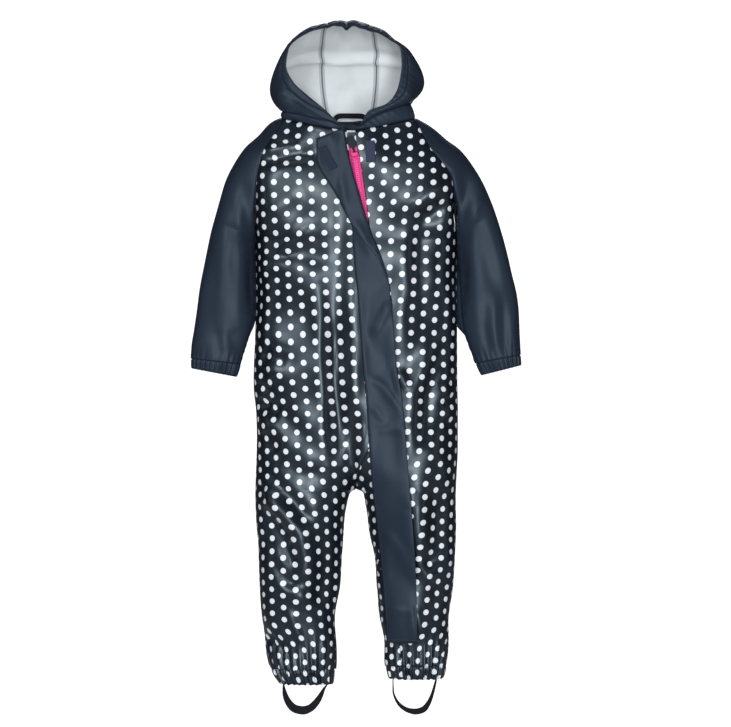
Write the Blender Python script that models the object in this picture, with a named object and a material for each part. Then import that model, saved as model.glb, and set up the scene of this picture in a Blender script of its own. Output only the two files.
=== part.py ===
"""Hooded rain suit for a small child, filled out as if worn.

Sizes are in millimetres. +X is the viewer's right, the front faces -Y, +Z is up.
The origin is the middle of the neck. Left and right are the viewer's left and right.
"""

import math

import bmesh
import bpy
import numpy as np
from mathutils import Matrix, Vector
from mathutils.bvhtree import BVHTree

MM = 0.001
WALL = 1.6
SEAM_GAP = 0.3
CLEAR = 0.5

FRONT = -1
BACK = 1
LEFT = -1
RIGHT = 1

BODY_COLUMNS = 6
INNER_COLUMNS = 3
SLEEVE_COLUMNS = 7
HOOD_ROWS = 7
UNDERARM_RING = 7

FRONT_SEAM_START = -400
CROTCH = -470
ZIP_END = -645
ZIP_HALF_GAP = 6.5


class Table:
    """Rows of sizes under column names, read smoothly between the rows."""

    def __init__(self, names, rows):
        self.names = names.split()
        self.rows = np.array(sorted(rows), dtype=float)
        keys = self.rows[:, 0]
        values = self.rows[:, 1:]
        steps = np.diff(keys)[:, None]
        slopes = np.diff(values, axis=0) / steps
        self.tangents = np.zeros_like(values)
        self.tangents[0] = slopes[0]
        self.tangents[-1] = slopes[-1]
        for i in range(1, len(keys) - 1):
            before = slopes[i - 1]
            after = slopes[i]
            same_way = before * after > 0
            total = np.where(same_way, before + after, 1.0)
            self.tangents[i] = np.where(same_way, 2 * before * after / total, 0.0)

    def at(self, key):
        """All columns at this key, as a dictionary of numbers."""
        keys = self.rows[:, 0]
        key = min(max(key, keys[0]), keys[-1])
        i = int(min(max(np.searchsorted(keys, key) - 1, 0), len(keys) - 2))
        step = keys[i + 1] - keys[i]
        t = (key - keys[i]) / step
        start = self.rows[i, 1:]
        end = self.rows[i + 1, 1:]
        value = (
            (2 * t**3 - 3 * t**2 + 1) * start
            + (t**3 - 2 * t**2 + t) * step * self.tangents[i]
            + (3 * t**2 - 2 * t**3) * end
            + (t**3 - t**2) * step * self.tangents[i + 1]
        )
        return dict(zip(self.names[1:], value))


# Side and inner edges of the body and legs at each height.
OUTLINE = Table(
    "z left_side left_inner right_inner right_side",
    [
        (-147, -130, 0, 0, 130),
        (-253, -131, 0, 0, 131.5),
        (-338, -133, 0, 0, 132),
        (-373, -130, 0, 0, 132.5),
        (-415, -128.8, 0, 0, 132.5),
        (-456, -130.6, 0, 0, 130.8),
        (-466, -130.9, 0, 0, 130.3),
        (-470, -131, 0, 0, 130),
        (-472.5, -131, -5, 5.5, 129.8),
        (-476, -131, -8.5, 9.5, 129.7),
        (-487, -130.7, -11.4, 12.5, 129.6),
        (-517, -129.3, -14.6, 18.5, 130.5),
        (-545, -126.8, -17, 21, 129.4),
        (-594, -125.5, -22, 26, 126),
        (-636, -123, -25, 32, 122.5),
        (-667, -119, -26.5, 35.5, 120),
        (-693, -113.5, -28, 39, 117.5),
        (-708, -108, -29.5, 42, 115),
        (-725, -98, -31, 46, 109),
    ],
)

# Depth of the front and back at each height. Lean turns the row's middle from flat across (0) to
# pointing straight out of the crotch (90); reach and round are the row's two curve handles.
DEPTH = Table(
    "z front front_lean front_reach front_round back back_lean back_reach back_round",
    [
        (-147, 56, 0, 84, 38, 60, 0, 84, 42),
        (-200, 56, 0, 86, 40, 60, 0, 84, 44),
        (-300, 55, 0, 86, 42, 62, 0, 84, 46),
        (-380, 54, 4, 82, 46, 62, 4, 80, 52),
        (-410, 50, 14, 74, 50, 58, 14, 74, 56),
        (-440, 38, 38, 64, 55, 46, 38, 66, 61),
        (-458, 23, 58, 61, 60, 29, 58, 66, 66),
        (-466, 11, 67, 68, 65, 14, 67, 72, 71),
        (-470, 0, 72, 72, 68, 0, 72, 77, 74),
        (-476, 0, 84, 70, 70, 0, 84, 75, 75),
        (-487, 0, 90, 70, 70, 0, 90, 75, 75),
        (-520, 0, 90, 66, 66, 0, 90, 71, 71),
        (-560, 0, 90, 60, 60, 0, 90, 65, 65),
        (-640, 0, 90, 50, 50, 0, 90, 54, 54),
        (-700, 0, 90, 40, 40, 0, 90, 43, 43),
        (-725, 0, 90, 32, 32, 0, 90, 34, 34),
    ],
)

# Yoke rows, 0 at the neck to 7 at the underarm. Centre is the middle of the row, the seams are the
# raglan seams, turn is how far the row has swung round toward the side where it meets the seam.
YOKE_CENTRE = Table(
    "ring x front_y front_z back_y back_z turn reach round",
    [
        (0, -8, -50, -8, 41, -3.3, 22, 36, 24),
        (1, -6, -52, -28, 50, -22, 28, 44, 26),
        (2, -5, -54, -46, 55, -42, 36, 54, 28),
        (3, -4, -55, -64, 57, -62, 46, 64, 30),
        (4, -3, -56, -84, 58, -84, 58, 72, 32),
        (5, -2, -56, -104, 59, -105, 70, 78, 34),
        (6, -1, -56, -126, 60, -126, 81, 82, 36),
        (7, 0, -56, -147, 60, -147, 90, 84, 38),
    ],
)

RAGLAN = {
    (LEFT, FRONT): Table(
        "ring x y z",
        [
            (0, -93.6, -28, 8.5),
            (1, -104, -35, -7),
            (2, -115, -40, -23),
            (3, -124, -42.5, -44),
            (4, -128.5, -42, -73),
            (5, -129.5, -36, -103),
            (6, -130, -22, -130),
            (7, -130, 0, -147),
        ],
    ),
    (RIGHT, FRONT): Table(
        "ring x y z",
        [
            (0, 76.5, -28, 9.5),
            (1, 85, -34, -10),
            (2, 97, -40, -29),
            (3, 111, -43, -47),
            (4, 124, -43, -69),
            (5, 127.5, -37, -99),
            (6, 129, -23, -128),
            (7, 130, 0, -147),
        ],
    ),
    (LEFT, BACK): Table(
        "ring x y z",
        [
            (0, -91, 21, 8),
            (1, -101, 32, -6),
            (2, -112, 38, -23),
            (3, -121, 41, -44),
            (4, -127, 41, -73),
            (5, -129, 36, -103),
            (6, -130, 23, -129),
            (7, -130, 0, -147),
        ],
    ),
    (RIGHT, BACK): Table(
        "ring x y z",
        [
            (0, 75, 21, 10),
            (1, 84, 32, -8),
            (2, 96, 38, -27),
            (3, 109, 41, -47),
            (4, 121, 41, -71),
            (5, 126.5, 36, -100),
            (6, 129, 23, -128),
            (7, 130, 0, -147),
        ],
    ),
}

# Sleeve rings, 0 at the neck, 7 at the underarm, then down to the wrist. Top is the outer line and
# under the inner line; spread, bulge and roll shape the cloth between a raglan seam and the top.
SLEEVE = {
    LEFT: Table(
        "ring top_x top_y top_z under_x under_y under_z spread bulge roll",
        [
            (0, -95, -4, 10.5, -94, -4, 9, 0.35, 0, 13),
            (1, -111, -3, 2.5, -104, -3, -7, 0.33, 2, 17),
            (2, -128, -3, -12, -116, -3, -23, 0.3, 4, 21),
            (3, -145, -4, -28, -125, -4, -44, 0.27, 7, 25),
            (4, -159, -5, -51, -129, -5, -73, 0.23, 11, 29),
            (5, -170, -6, -74, -130, -6, -103, 0.17, 17, 33),
            (6, -178, -7, -98, -130, -7, -130, 0.09, 27, 37),
            (7, -184, -8, -122, -130, 0, -147, 0, 41, 40),
            (8, -189.5, -9, -144, -132.6, -4, -163, 0, 39, 39),
            (9, -196, -11, -172, -134.2, -8, -187, 0, 36, 37),
            (10, -201, -12, -201, -135.2, -11, -213, 0, 34, 35),
            (11, -205.5, -14, -233, -136.5, -14, -243, 0, 32, 33),
            (12, -210, -15, -263, -140, -15, -270, 0, 30, 31),
            (13, -213.3, -16, -287, -146, -16, -293, 0, 27, 28),
            (14, -213.5, -16, -301, -149.5, -16, -308, 0, 25, 25),
            (15, -213.3, -16, -314, -155, -16, -325, 0, 22, 22),
        ],
    ),
    RIGHT: Table(
        "ring top_x top_y top_z under_x under_y under_z spread bulge roll",
        [
            (0, 78, -4, 12, 77, -4, 10, 0.35, 0, 13),
            (1, 94, -3, 2.5, 86, -3, -10, 0.33, 2, 17),
            (2, 111, -3, -8, 98, -3, -29, 0.3, 4, 21),
            (3, 129, -4, -24, 112, -4, -47, 0.27, 7, 25),
            (4, 144, -5, -41, 124, -5, -69, 0.23, 11, 29),
            (5, 158, -6, -62, 128, -6, -99, 0.17, 17, 33),
            (6, 170, -7, -86, 130, -7, -128, 0.09, 27, 37),
            (7, 180, -8, -111, 130, 0, -147, 0, 41, 40),
            (8, 187.5, -9, -134, 132.6, -4, -165, 0, 39, 39),
            (9, 195, -11, -162, 134.2, -8, -190, 0, 36, 37),
            (10, 201.5, -12, -190, 135.2, -11, -217, 0, 34, 35),
            (11, 208, -14, -220, 136.5, -14, -245, 0, 32, 33),
            (12, 211.5, -15, -248, 140.5, -15, -268, 0, 30, 31),
            (13, 213, -16, -275, 148, -16, -290, 0, 27, 28),
            (14, 213.3, -16, -296, 155.5, -16, -307, 0, 25, 25),
            (15, 214.2, -16, -310, 163, -16, -323, 0, 22, 22),
        ],
    ),
}

# The hood, by share of the way along its neck seam from the left front corner round the back. Each
# cut of the hood runs from the neckband's top edge by a rise and a crown handle to the face edge.
HOOD_NECK = Table(
    "share x y z",
    [
        (0, -17, -49, -3.5),
        (0.04, -31, -48, 4),
        (0.12, -64, -42, 11.5),
        (0.193, -93.5, -28, 17.5),
        (0.25, -95.5, -3, 20),
        (0.31, -91, 22, 18),
        (0.4, -52, 36, 12),
        (0.502, -9, 41, 9),
        (0.6, 34, 37, 13),
        (0.65, 52, 31, 19),
        (0.7, 69, 22, 26),
        (0.76, 71, -3, 30.5),
        (0.816, 68, -27, 28),
        (0.88, 44, -42, 19),
        (0.95, 18, -48, 7),
        (1, 4.3, -50, -3),
    ],
)
HOOD_RISE = Table(
    "share x y z",
    [
        (0, -20, -49.5, -1),
        (0.04, -33, -49, 9),
        (0.12, -70, -45, 20),
        (0.193, -105, -33, 30),
        (0.25, -117, 6, 36),
        (0.31, -112, 36, 50),
        (0.4, -76, 68, 50),
        (0.502, -8, 84, 54),
        (0.6, 51, 69, 52),
        (0.65, 69, 54, 54),
        (0.7, 86, 38, 58),
        (0.76, 93, 8, 46),
        (0.816, 76, -38, 33),
        (0.88, 46, -45, 22),
        (0.95, 18, -49, 10),
        (1, 6, -50.5, 0),
    ],
)
HOOD_CROWN = Table(
    "share x y z",
    [
        (0, -23, -50, 2),
        (0.04, -36, -49.5, 14),
        (0.12, -67, -48, 29),
        (0.193, -100, -40, 50),
        (0.25, -121, -14, 64),
        (0.31, -106, -14, 96),
        (0.4, -68, 8, 158),
        (0.502, -8, 16, 173),
        (0.6, 42, 12, 152),
        (0.65, 62, -3, 122),
        (0.7, 83, -17, 101),
        (0.76, 100, -16, 70),
        (0.816, 64, -44, 44.5),
        (0.88, 43, -47.5, 25),
        (0.95, 17.5, -50, 14),
        (1, 8, -51, 4),
    ],
)
HOOD_FACE = Table(
    "share x y z",
    [
        (0, -26, -50, 6),
        (0.04, -40, -49.5, 19.5),
        (0.12, -61, -47, 37),
        (0.193, -81, -43, 56),
        (0.25, -90.5, -39, 77),
        (0.31, -87, -41, 99),
        (0.4, -48, -46, 123.5),
        (0.502, -11, -48, 126.5),
        (0.6, 27, -46, 119.5),
        (0.65, 43, -44, 110.5),
        (0.7, 57.5, -42, 99),
        (0.76, 59.5, -39, 77),
        (0.816, 52.5, -43, 44),
        (0.88, 39, -48, 27),
        (0.95, 17, -50.5, 18),
        (1, 9.5, -51, 7),
    ],
)
HOOD_HEM_WIDTH = 11
HOOD_SEAM_LEFT = 0.42
HOOD_SEAM_RIGHT = 0.585

# The zip's centre line, and the storm flap: where it is sewn, how far it lies flat before rolling
# back, its width, and how much each row drops along the part that is folded open.
ZIP = Table(
    "z x attach run width drop",
    [
        (-4, -6, -17.8, 0, 43, 0.36),
        (-30, -3, -15.4, 1.2, 47, 0.36),
        (-43, -1.3, -14.2, 3.2, 48, 0.36),
        (-62, 1.4, -12.3, 8.3, 49, 0.33),
        (-89, 5.3, -9.5, 14.5, 50, 0.28),
        (-114, 8.6, -6.5, 18, 49, 0.22),
        (-139, 11, -4.2, 23, 48, 0.14),
        (-165, 13, -3, 31, 46, 0.07),
        (-188, 14.5, -1.5, 37.5, 43, 0.02),
        (-212, 16, 1.5, 43, 42, 0),
        (-264, 19.5, 5.5, 60, 43, 0),
        (-311, 23.5, 9.5, 60, 43, 0),
        (-350, 27, 13, 60, 46, 0),
        (-434, 34, 18.5, 60, 48, 0),
        (-573, 46, 33, 60, 44, 0),
        (-670, 55, 41, 60, 39, 0),
        (-725, 60, 46, 60, 38, 0),
    ],
)
CHAIN_HEIGHT = 1.2
GUARD_END = -26.5
FLAP_THICKNESS = 2.0
FLAP_ROLL = 3.2
FLAP_END = -668

# The straps under the feet, along their length; turn is how far the face is turned to the front.
STRAP_LEFT = Table(
    "step x z turn",
    [
        (0, -93.9, -713, 0),
        (1, -94, -725, 8),
        (2, -92.3, -737, 34),
        (3, -87.4, -748.5, 55),
        (4, -78.7, -756.6, 75),
        (5, -68.9, -758.4, 84),
        (6, -60.5, -756, 64),
        (7, -52.7, -749.2, 52),
        (8, -46.5, -740, 36),
        (9, -42, -731, 16),
        (10, -36.4, -722, 3),
        (11, -34.9, -713, 0),
    ],
)
STRAP_RIGHT = Table(
    "step x z turn",
    [
        (0, 49.4, -706, 0),
        (1, 48.1, -718, 0),
        (2, 48.4, -733, 5),
        (3, 51.7, -743.6, 13),
        (4, 58.1, -752.4, 25),
        (5, 68, -758.3, 36),
        (6, 77.1, -760, 46),
        (7, 86.8, -757.6, 48),
        (8, 94, -749.3, 33),
        (9, 98.9, -738, 20),
        (10, 102.8, -724, 12),
        (11, 106, -710, 0),
    ],
)

# The largest creases: each is a soft ridge (height above 0) or trough along a line on one face.
CREASES = [
    # face, from x, from z, to x, to z, width, height
    (FRONT, -120, -163, -35, -172, 11, -3.0),
    (FRONT, -118, -185, -40, -128, 13, 2.2),
    (FRONT, -18, -90, -24, -330, 11, -3.2),
    (FRONT, -24, -330, -12, -440, 12, -3.6),
    (FRONT, -48, -200, -46, -400, 15, 2.4),
    (FRONT, -125, -350, -20, -446, 14, -2.6),
    (FRONT, -122, -462, -62, -560, 14, 3.0),
    (FRONT, -62, -560, -78, -640, 14, 2.4),
    (FRONT, -96, -580, -34, -610, 12, -2.4),
    (FRONT, 62, -220, 56, -350, 14, 2.6),
    (FRONT, 112, -80, 92, -170, 12, -2.4),
    (FRONT, 96, -408, 74, -470, 14, 2.6),
    (FRONT, 74, -470, 84, -560, 14, 2.6),
    (FRONT, 66, -352, 74, -390, 10, -2.2),
    (BACK, -80, -120, -60, -300, 18, 2.4),
    (BACK, 70, -140, 50, -330, 18, 2.4),
    (BACK, -100, -410, 95, -425, 18, -3.0),
    (BACK, -90, -540, -45, -610, 14, 2.4),
    (BACK, 50, -530, 95, -600, 14, 2.4),
    (FRONT, -150, -50, -152, -140, 9, -2.0),
    (FRONT, -190, -180, -160, -250, 11, 2.0),
    (FRONT, 152, -60, 160, -130, 10, 2.2),
    (FRONT, 190, -200, 186, -280, 9, 2.0),
]

BODY_HEIGHTS = [
    -168, -192, -218, -246, -272, -298, -324, -350, -374, -392, -400, -412, -426,
    -440, -452, -461, -467, -470, -472.5, -476, -486, -502, -522, -544, -568,
    -592, -616, -640, -656, -667, -682,
]
LAST_HEIGHT = {LEFT: -704, RIGHT: -700}
HEM_END = {LEFT: -724, RIGHT: -717}


def point(x, y, z):
    return np.array([x, y, z], dtype=float)


def bezier(controls, t):
    """A point on the cubic curve with these four controls."""
    a, b, c, d = controls
    s = 1 - t
    return s**3 * a + 3 * s * s * t * b + 3 * s * t * t * c + t**3 * d


def unit(vectors):
    length = np.linalg.norm(vectors, axis=-1, keepdims=True)
    return vectors / np.maximum(length, 1e-9)


def yoke_half(ring, side, face):
    """Curve from the middle of a yoke row to the raglan seam."""
    row = YOKE_CENTRE.at(ring)
    seam = RAGLAN[side, face].at(ring)
    if face == FRONT:
        middle = point(row["x"], row["front_y"], row["front_z"])
    else:
        middle = point(row["x"], row["back_y"], row["back_z"])
    end = point(seam["x"], seam["y"], seam["z"])
    turn = math.radians(row["turn"])
    drop = end[2] - middle[2]
    first = middle + point(side * row["reach"], 0, 0.25 * drop)
    back_off = point(side * math.cos(turn), -face * math.sin(turn), 0)
    second = end - row["round"] * back_off
    second[2] = middle[2] + 0.72 * drop
    return middle, first, second, end


def level_half(z, side, face):
    """Curve of a level row from the centre line, or the inner leg seam, to the side seam."""
    edges = OUTLINE.at(z)
    depth = DEPTH.at(z)
    outer = edges["left_side"] if side == LEFT else edges["right_side"]
    inner = edges["left_inner"] if side == LEFT else edges["right_inner"]
    word = "front" if face == FRONT else "back"
    lean = math.radians(depth[word + "_lean"])
    reach = depth[word + "_reach"]
    middle = point(inner, face * depth[word], z)
    end = point(outer, 0, z)
    first = middle + reach * point(side * math.cos(lean), face * math.sin(lean), 0)
    second = end + point(0, face * depth[word + "_round"], 0)
    return middle, first, second, end


def row_point(row, share, face):
    """A point of a body row: share -1 at the left side, 0 in the middle, 1 at the right side."""
    side = LEFT if share < 0 else RIGHT
    kind, key = row
    half = yoke_half if kind == "yoke" else level_half
    return bezier(half(key, side, face), abs(share))


def share_at(row, wanted_x, low=-0.9, high=0.98):
    """The share along a front row where it crosses a given x."""
    for _ in range(40):
        middle = (low + high) / 2
        if row_point(row, middle, FRONT)[0] < wanted_x:
            low = middle
        else:
            high = middle
    return (low + high) / 2


def body_rows():
    rows = [("yoke", ring) for ring in range(UNDERARM_RING + 1)]
    rows += [("level", z) for z in BODY_HEIGHTS]
    return rows


def row_height(row):
    kind, key = row
    return YOKE_CENTRE.at(key)["front_z"] if kind == "yoke" else key


def zip_share(row, side):
    """Share along a front row of the zip's left or right edge."""
    z = row_height(row)
    low = -0.9 if z > FRONT_SEAM_START else 0.0
    gap = ZIP_HALF_GAP if z > ZIP_END else 0.0
    return share_at(row, ZIP.at(z)["x"] + side * gap, low)


def front_seam_share(row):
    """Share along a front row of the short seam from the zip down to the crotch."""
    z = row_height(row)
    start = zip_share(("level", FRONT_SEAM_START), LEFT)
    along = (z - CROTCH) / (FRONT_SEAM_START - CROTCH)
    return start * min(max(along, 0.0), 1.0)


def front_left_end(row):
    kind, key = row
    if kind == "yoke" or key > FRONT_SEAM_START:
        return zip_share(row, LEFT)
    if key > CROTCH:
        return front_seam_share(row)
    return -1e-9


def panel(rows, face, start, end, columns):
    """Grid of points of a body panel; start and end give each row's two shares."""
    grid = []
    for row in rows:
        first = start(row)
        last = end(row)
        shares = [first + (last - first) * i / columns for i in range(columns + 1)]
        grid.append([row_point(row, share, face) for share in shares])
    return np.array(grid)


def sleeve_ring(side, ring, columns):
    """Points of a sleeve ring from its front seam over the top to its back seam."""
    row = SLEEVE[side].at(ring)
    top = point(row["top_x"], row["top_y"], row["top_z"])
    points = []
    for face in (FRONT, BACK):
        if ring <= UNDERARM_RING:
            seam = RAGLAN[side, face].at(ring)
            start = point(seam["x"], seam["y"], seam["z"])
        else:
            start = point(row["under_x"], row["under_y"], row["under_z"])
        first = start + row["spread"] * (top - start) + point(0, face * row["bulge"], 0)
        second = top + point(0, face * row["roll"], 0)
        steps = [i / columns for i in range(columns + 1)]
        half = [bezier((start, first, second, top), t) for t in steps]
        points += half if face == FRONT else half[::-1][1:]
    return points


def hood_cut(share, widths):
    """Points of one cut of the hood: even steps to the hem's inner edge, then across the hem."""
    controls = []
    for table in (HOOD_NECK, HOOD_RISE, HOOD_CROWN, HOOD_FACE):
        row = table.at(share)
        controls.append(point(row["x"], row["y"], row["z"]))
    fine = np.array([bezier(controls, t / 80) for t in range(81)])
    steps = np.linalg.norm(np.diff(fine, axis=0), axis=1)
    length = np.concatenate([[0], np.cumsum(steps)])
    hem = min(HOOD_HEM_WIDTH, 0.35 * length[-1])
    marks = [w * (length[-1] - hem) for w in widths[0]]
    marks += [length[-1] - hem + w * hem for w in widths[1]]
    return np.array([[np.interp(m, length, fine[:, k]) for k in range(3)] for m in marks])


class Sheet:
    """A grid of points on the outer face of the cloth."""

    def __init__(self, name, grid, closed=False, flipped=False):
        self.name = name
        self.grid = np.array(grid, dtype=float)
        self.closed = closed
        self.flipped = flipped

    def own_normals(self):
        """Area-weighted normals of the grid's points, and the way from each into its faces."""
        g = self.grid
        if self.closed:
            g = np.concatenate([g, g[:, :1]], axis=1)
        a, b = g[:-1, :-1], g[:-1, 1:]
        c, d = g[1:, 1:], g[1:, :-1]
        face = np.cross(c - a, b - d)
        if self.flipped:
            face = -face
        centre = (a + b + c + d) / 4
        total = np.zeros_like(g)
        inward = np.zeros_like(g)
        for rows, columns, corner in (
            (slice(None, -1), slice(None, -1), a),
            (slice(None, -1), slice(1, None), b),
            (slice(1, None), slice(1, None), c),
            (slice(1, None), slice(None, -1), d),
        ):
            total[rows, columns] += face
            inward[rows, columns] += centre - corner
        if self.closed:
            total[:, 0] += total[:, -1]
            inward[:, 0] += inward[:, -1]
            total = total[:, :-1]
            inward = inward[:, :-1]
        return total, inward


def key_of(p):
    return (round(p[0], 2), round(p[1], 2), round(p[2], 2))


def groups(normals, ways):
    """Which of the sheets meeting at a point share one normal: all but those across a valley."""
    count = len(normals)
    group = list(range(count))
    for i in range(count):
        for j in range(i):
            alike = normals[i] @ normals[j] > 0.3
            falls_away = ways[i] @ normals[j] < -0.15 and ways[j] @ normals[i] < -0.15
            if alike or falls_away:
                low, high = sorted((group[i], group[j]))
                group = [low if g == high else g for g in group]
    return np.array(group)


def shared_normals(sheets):
    """Unit normals, averaged over the sheets that meet at a point, save across a tight valley."""
    meeting = {}
    for sheet in sheets:
        normals, inward = sheet.own_normals()
        flat = zip(sheet.grid.reshape(-1, 3), normals.reshape(-1, 3), inward.reshape(-1, 3))
        for k, (p, n, way) in enumerate(flat):
            meeting.setdefault(key_of(p), []).append((sheet.name, k, n, way))
    result = {sheet.name: np.zeros_like(sheet.grid).reshape(-1, 3) for sheet in sheets}
    for entries in meeting.values():
        normals = np.array([entry[2] for entry in entries])
        ways = np.array([entry[3] for entry in entries])
        group = groups(unit(normals), unit(ways))
        for index, (name, k, _, _) in enumerate(entries):
            result[name][k] = unit(normals[group == group[index]].sum(axis=0))
    return {sheet.name: result[sheet.name].reshape(sheet.grid.shape) for sheet in sheets}


def crease_height(p, normal):
    """How far the creases push the cloth out at a point."""
    total = 0.0
    for face, x0, z0, x1, z1, width, height in CREASES:
        facing = normal[1] * face
        if facing <= 0:
            continue
        along = np.array([x1 - x0, z1 - z0])
        offset = np.array([p[0] - x0, p[2] - z0])
        t = np.dot(offset, along) / np.dot(along, along)
        if t < -0.2 or t > 1.2:
            continue
        near = min(max(t, 0.0), 1.0)
        distance = np.linalg.norm(offset - near * along)
        total += height * math.exp(-((distance / width) ** 2)) * min(1.0, 1.5 * facing)
    return total


def crease(sheets):
    """Move every point along its shared normal by the crease height there."""
    normals = shared_normals(sheets)
    for sheet in sheets:
        moved = sheet.grid.copy()
        for i in range(moved.shape[0]):
            for j in range(moved.shape[1]):
                n = normals[sheet.name][i, j]
                moved[i, j] += crease_height(sheet.grid[i, j], n) * n
        sheet.moved = moved
    for sheet in sheets:
        sheet.grid = sheet.moved


def inset(grid, closed):
    """Small shift of each edge point into its own piece, square to the edge."""
    shift = np.zeros_like(grid)
    half = SEAM_GAP / 2

    def pull(edge, inside):
        along = unit(np.gradient(edge, axis=0))
        inward = inside - edge
        inward = inward - np.sum(inward * along, axis=1, keepdims=True) * along
        return half * unit(inward)

    shift[0] += pull(grid[0], grid[1])
    shift[-1] += pull(grid[-1], grid[-2])
    if not closed:
        shift[:, 0] += pull(grid[:, 0], grid[:, 1])
        shift[:, -1] += pull(grid[:, -1], grid[:, -2])
    return shift


def material(name, colour, roughness, metallic=0.0):
    made = bpy.data.materials.new(name)
    made.use_nodes = True
    shader = made.node_tree.nodes["Principled BSDF"]
    shader.inputs["Base Color"].default_value = (*colour, 1.0)
    shader.inputs["Roughness"].default_value = roughness
    shader.inputs["Metallic"].default_value = metallic
    made.diffuse_color = (*colour, 1.0)
    return made


DOTTED = ((0.012, 0.015, 0.022), 0.32)
PLAIN = ((0.030, 0.038, 0.050), 0.42)
PINK = ((0.75, 0.028, 0.22), 0.5)
PATCH_DARK = ((0.010, 0.016, 0.030), 0.85)
PATCH_BLUE = ((0.045, 0.045, 0.095), 0.85)
ELASTIC = ((0.020, 0.020, 0.028), 0.8)
METAL_GREY = ((0.10, 0.10, 0.12), 0.45)


def make_object(name, vertices, faces, look, origin=(0, 0, 0)):
    """A closed solid from millimetre points, faces turned outward."""
    mesh = bpy.data.meshes.new(name)
    start = np.array(origin, dtype=float)
    mesh.from_pydata([tuple((np.array(v) - start) * MM) for v in vertices], [], faces)
    work = bmesh.new()
    work.from_mesh(mesh)
    bmesh.ops.recalc_face_normals(work, faces=work.faces)
    if work.calc_volume(signed=True) < 0:
        bmesh.ops.reverse_faces(work, faces=work.faces)
    work.to_mesh(mesh)
    work.free()
    made = bpy.data.objects.new(name, mesh)
    made.location = tuple(start * MM)
    bpy.context.scene.collection.objects.link(made)
    colour, roughness = look
    made.data.materials.append(material(name + "_cloth", colour, roughness))
    return made


def wall_object(name, outer, inner, look, closed=False):
    """A wall between two matching grids, closed round its rim."""
    rows, columns = outer.shape[:2]
    vertices = [tuple(p) for p in outer.reshape(-1, 3)]
    vertices += [tuple(p) for p in inner.reshape(-1, 3)]
    skip = rows * columns
    faces = []
    across = columns if closed else columns - 1
    for i in range(rows - 1):
        for j in range(across):
            a = i * columns + j
            b = i * columns + (j + 1) % columns
            c, d = b + columns, a + columns
            faces.append((a, d, c, b))
            faces.append((skip + a, skip + b, skip + c, skip + d))
    for i, flip in ((0, False), (rows - 1, True)):
        for j in range(across):
            a = i * columns + j
            b = i * columns + (j + 1) % columns
            quad = (a, b, skip + b, skip + a)
            faces.append(quad[::-1] if flip else quad)
    if not closed:
        for j, flip in ((0, True), (columns - 1, False)):
            for i in range(rows - 1):
                a = i * columns + j
                b = a + columns
                quad = (a, b, skip + b, skip + a)
                faces.append(quad[::-1] if flip else quad)
    return make_object(name, vertices, faces, look)


def sheet_object(sheet, normals, look, wall=WALL):
    outer = sheet.grid + inset(sheet.grid, sheet.closed)
    inner = outer - wall * normals
    return wall_object(sheet.name, outer, inner, look, sheet.closed)


def gathered(grid, waves, depth, rows):
    """Ripple a closed ring grid out along its own radius, for an elastic casing."""
    centre = grid.mean(axis=1, keepdims=True)
    outward = unit(grid - centre)
    count = grid.shape[1]
    phase = np.arange(count) * 2 * math.pi * waves / count
    strength = np.array(rows)[:, None]
    ripple = depth * np.cos(phase)[None, :] * strength
    return grid + outward * ripple[..., None]


def build_body():
    """The sheets of the body, sleeves, neckband, hood and casings."""
    rows = body_rows()
    left_rows = rows + [("level", LAST_HEIGHT[LEFT])]
    right_rows = rows + [("level", LAST_HEIGHT[RIGHT])]
    inner_rows = [row for row in right_rows if row[0] == "level" and row[1] < FRONT_SEAM_START]

    sheets = {}

    def add(name, grid, closed=False, flipped=False):
        sheets[name] = Sheet(name, grid, closed, flipped)

    add(
        "front_left",
        panel(left_rows, FRONT, lambda r: -1.0, front_left_end, BODY_COLUMNS),
    )
    add(
        "front_right",
        panel(right_rows, FRONT, lambda r: zip_share(r, RIGHT), lambda r: 1.0, BODY_COLUMNS),
    )
    add(
        "front_right_inner",
        panel(
            inner_rows,
            FRONT,
            lambda r: max(front_seam_share(r), 1e-9),
            lambda r: zip_share(r, LEFT),
            INNER_COLUMNS,
        ),
    )
    add(
        "back_left",
        panel(left_rows, BACK, lambda r: -1e-9, lambda r: -1.0, BODY_COLUMNS),
    )
    add(
        "back_right",
        panel(right_rows, BACK, lambda r: 1.0, lambda r: 1e-9, BODY_COLUMNS),
    )
    for side, name in ((LEFT, "sleeve_left"), (RIGHT, "sleeve_right")):
        grid = [sleeve_ring(side, ring, SLEEVE_COLUMNS) for ring in range(15)]
        add(name, grid, flipped=(side == LEFT))
    return sheets


def neck_line(sheets):
    """Top edge of the body from the zip's left side round the back to its right side."""
    parts = [
        sheets["front_left"].grid[0][::-1],
        sheets["sleeve_left"].grid[0],
        sheets["back_left"].grid[0][::-1],
        sheets["back_right"].grid[0][::-1],
        sheets["sleeve_right"].grid[0][::-1],
        sheets["front_right"].grid[0][::-1],
    ]
    line = [parts[0][0]]
    for part in parts:
        line += list(part[1:])
    return np.array(line)


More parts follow.
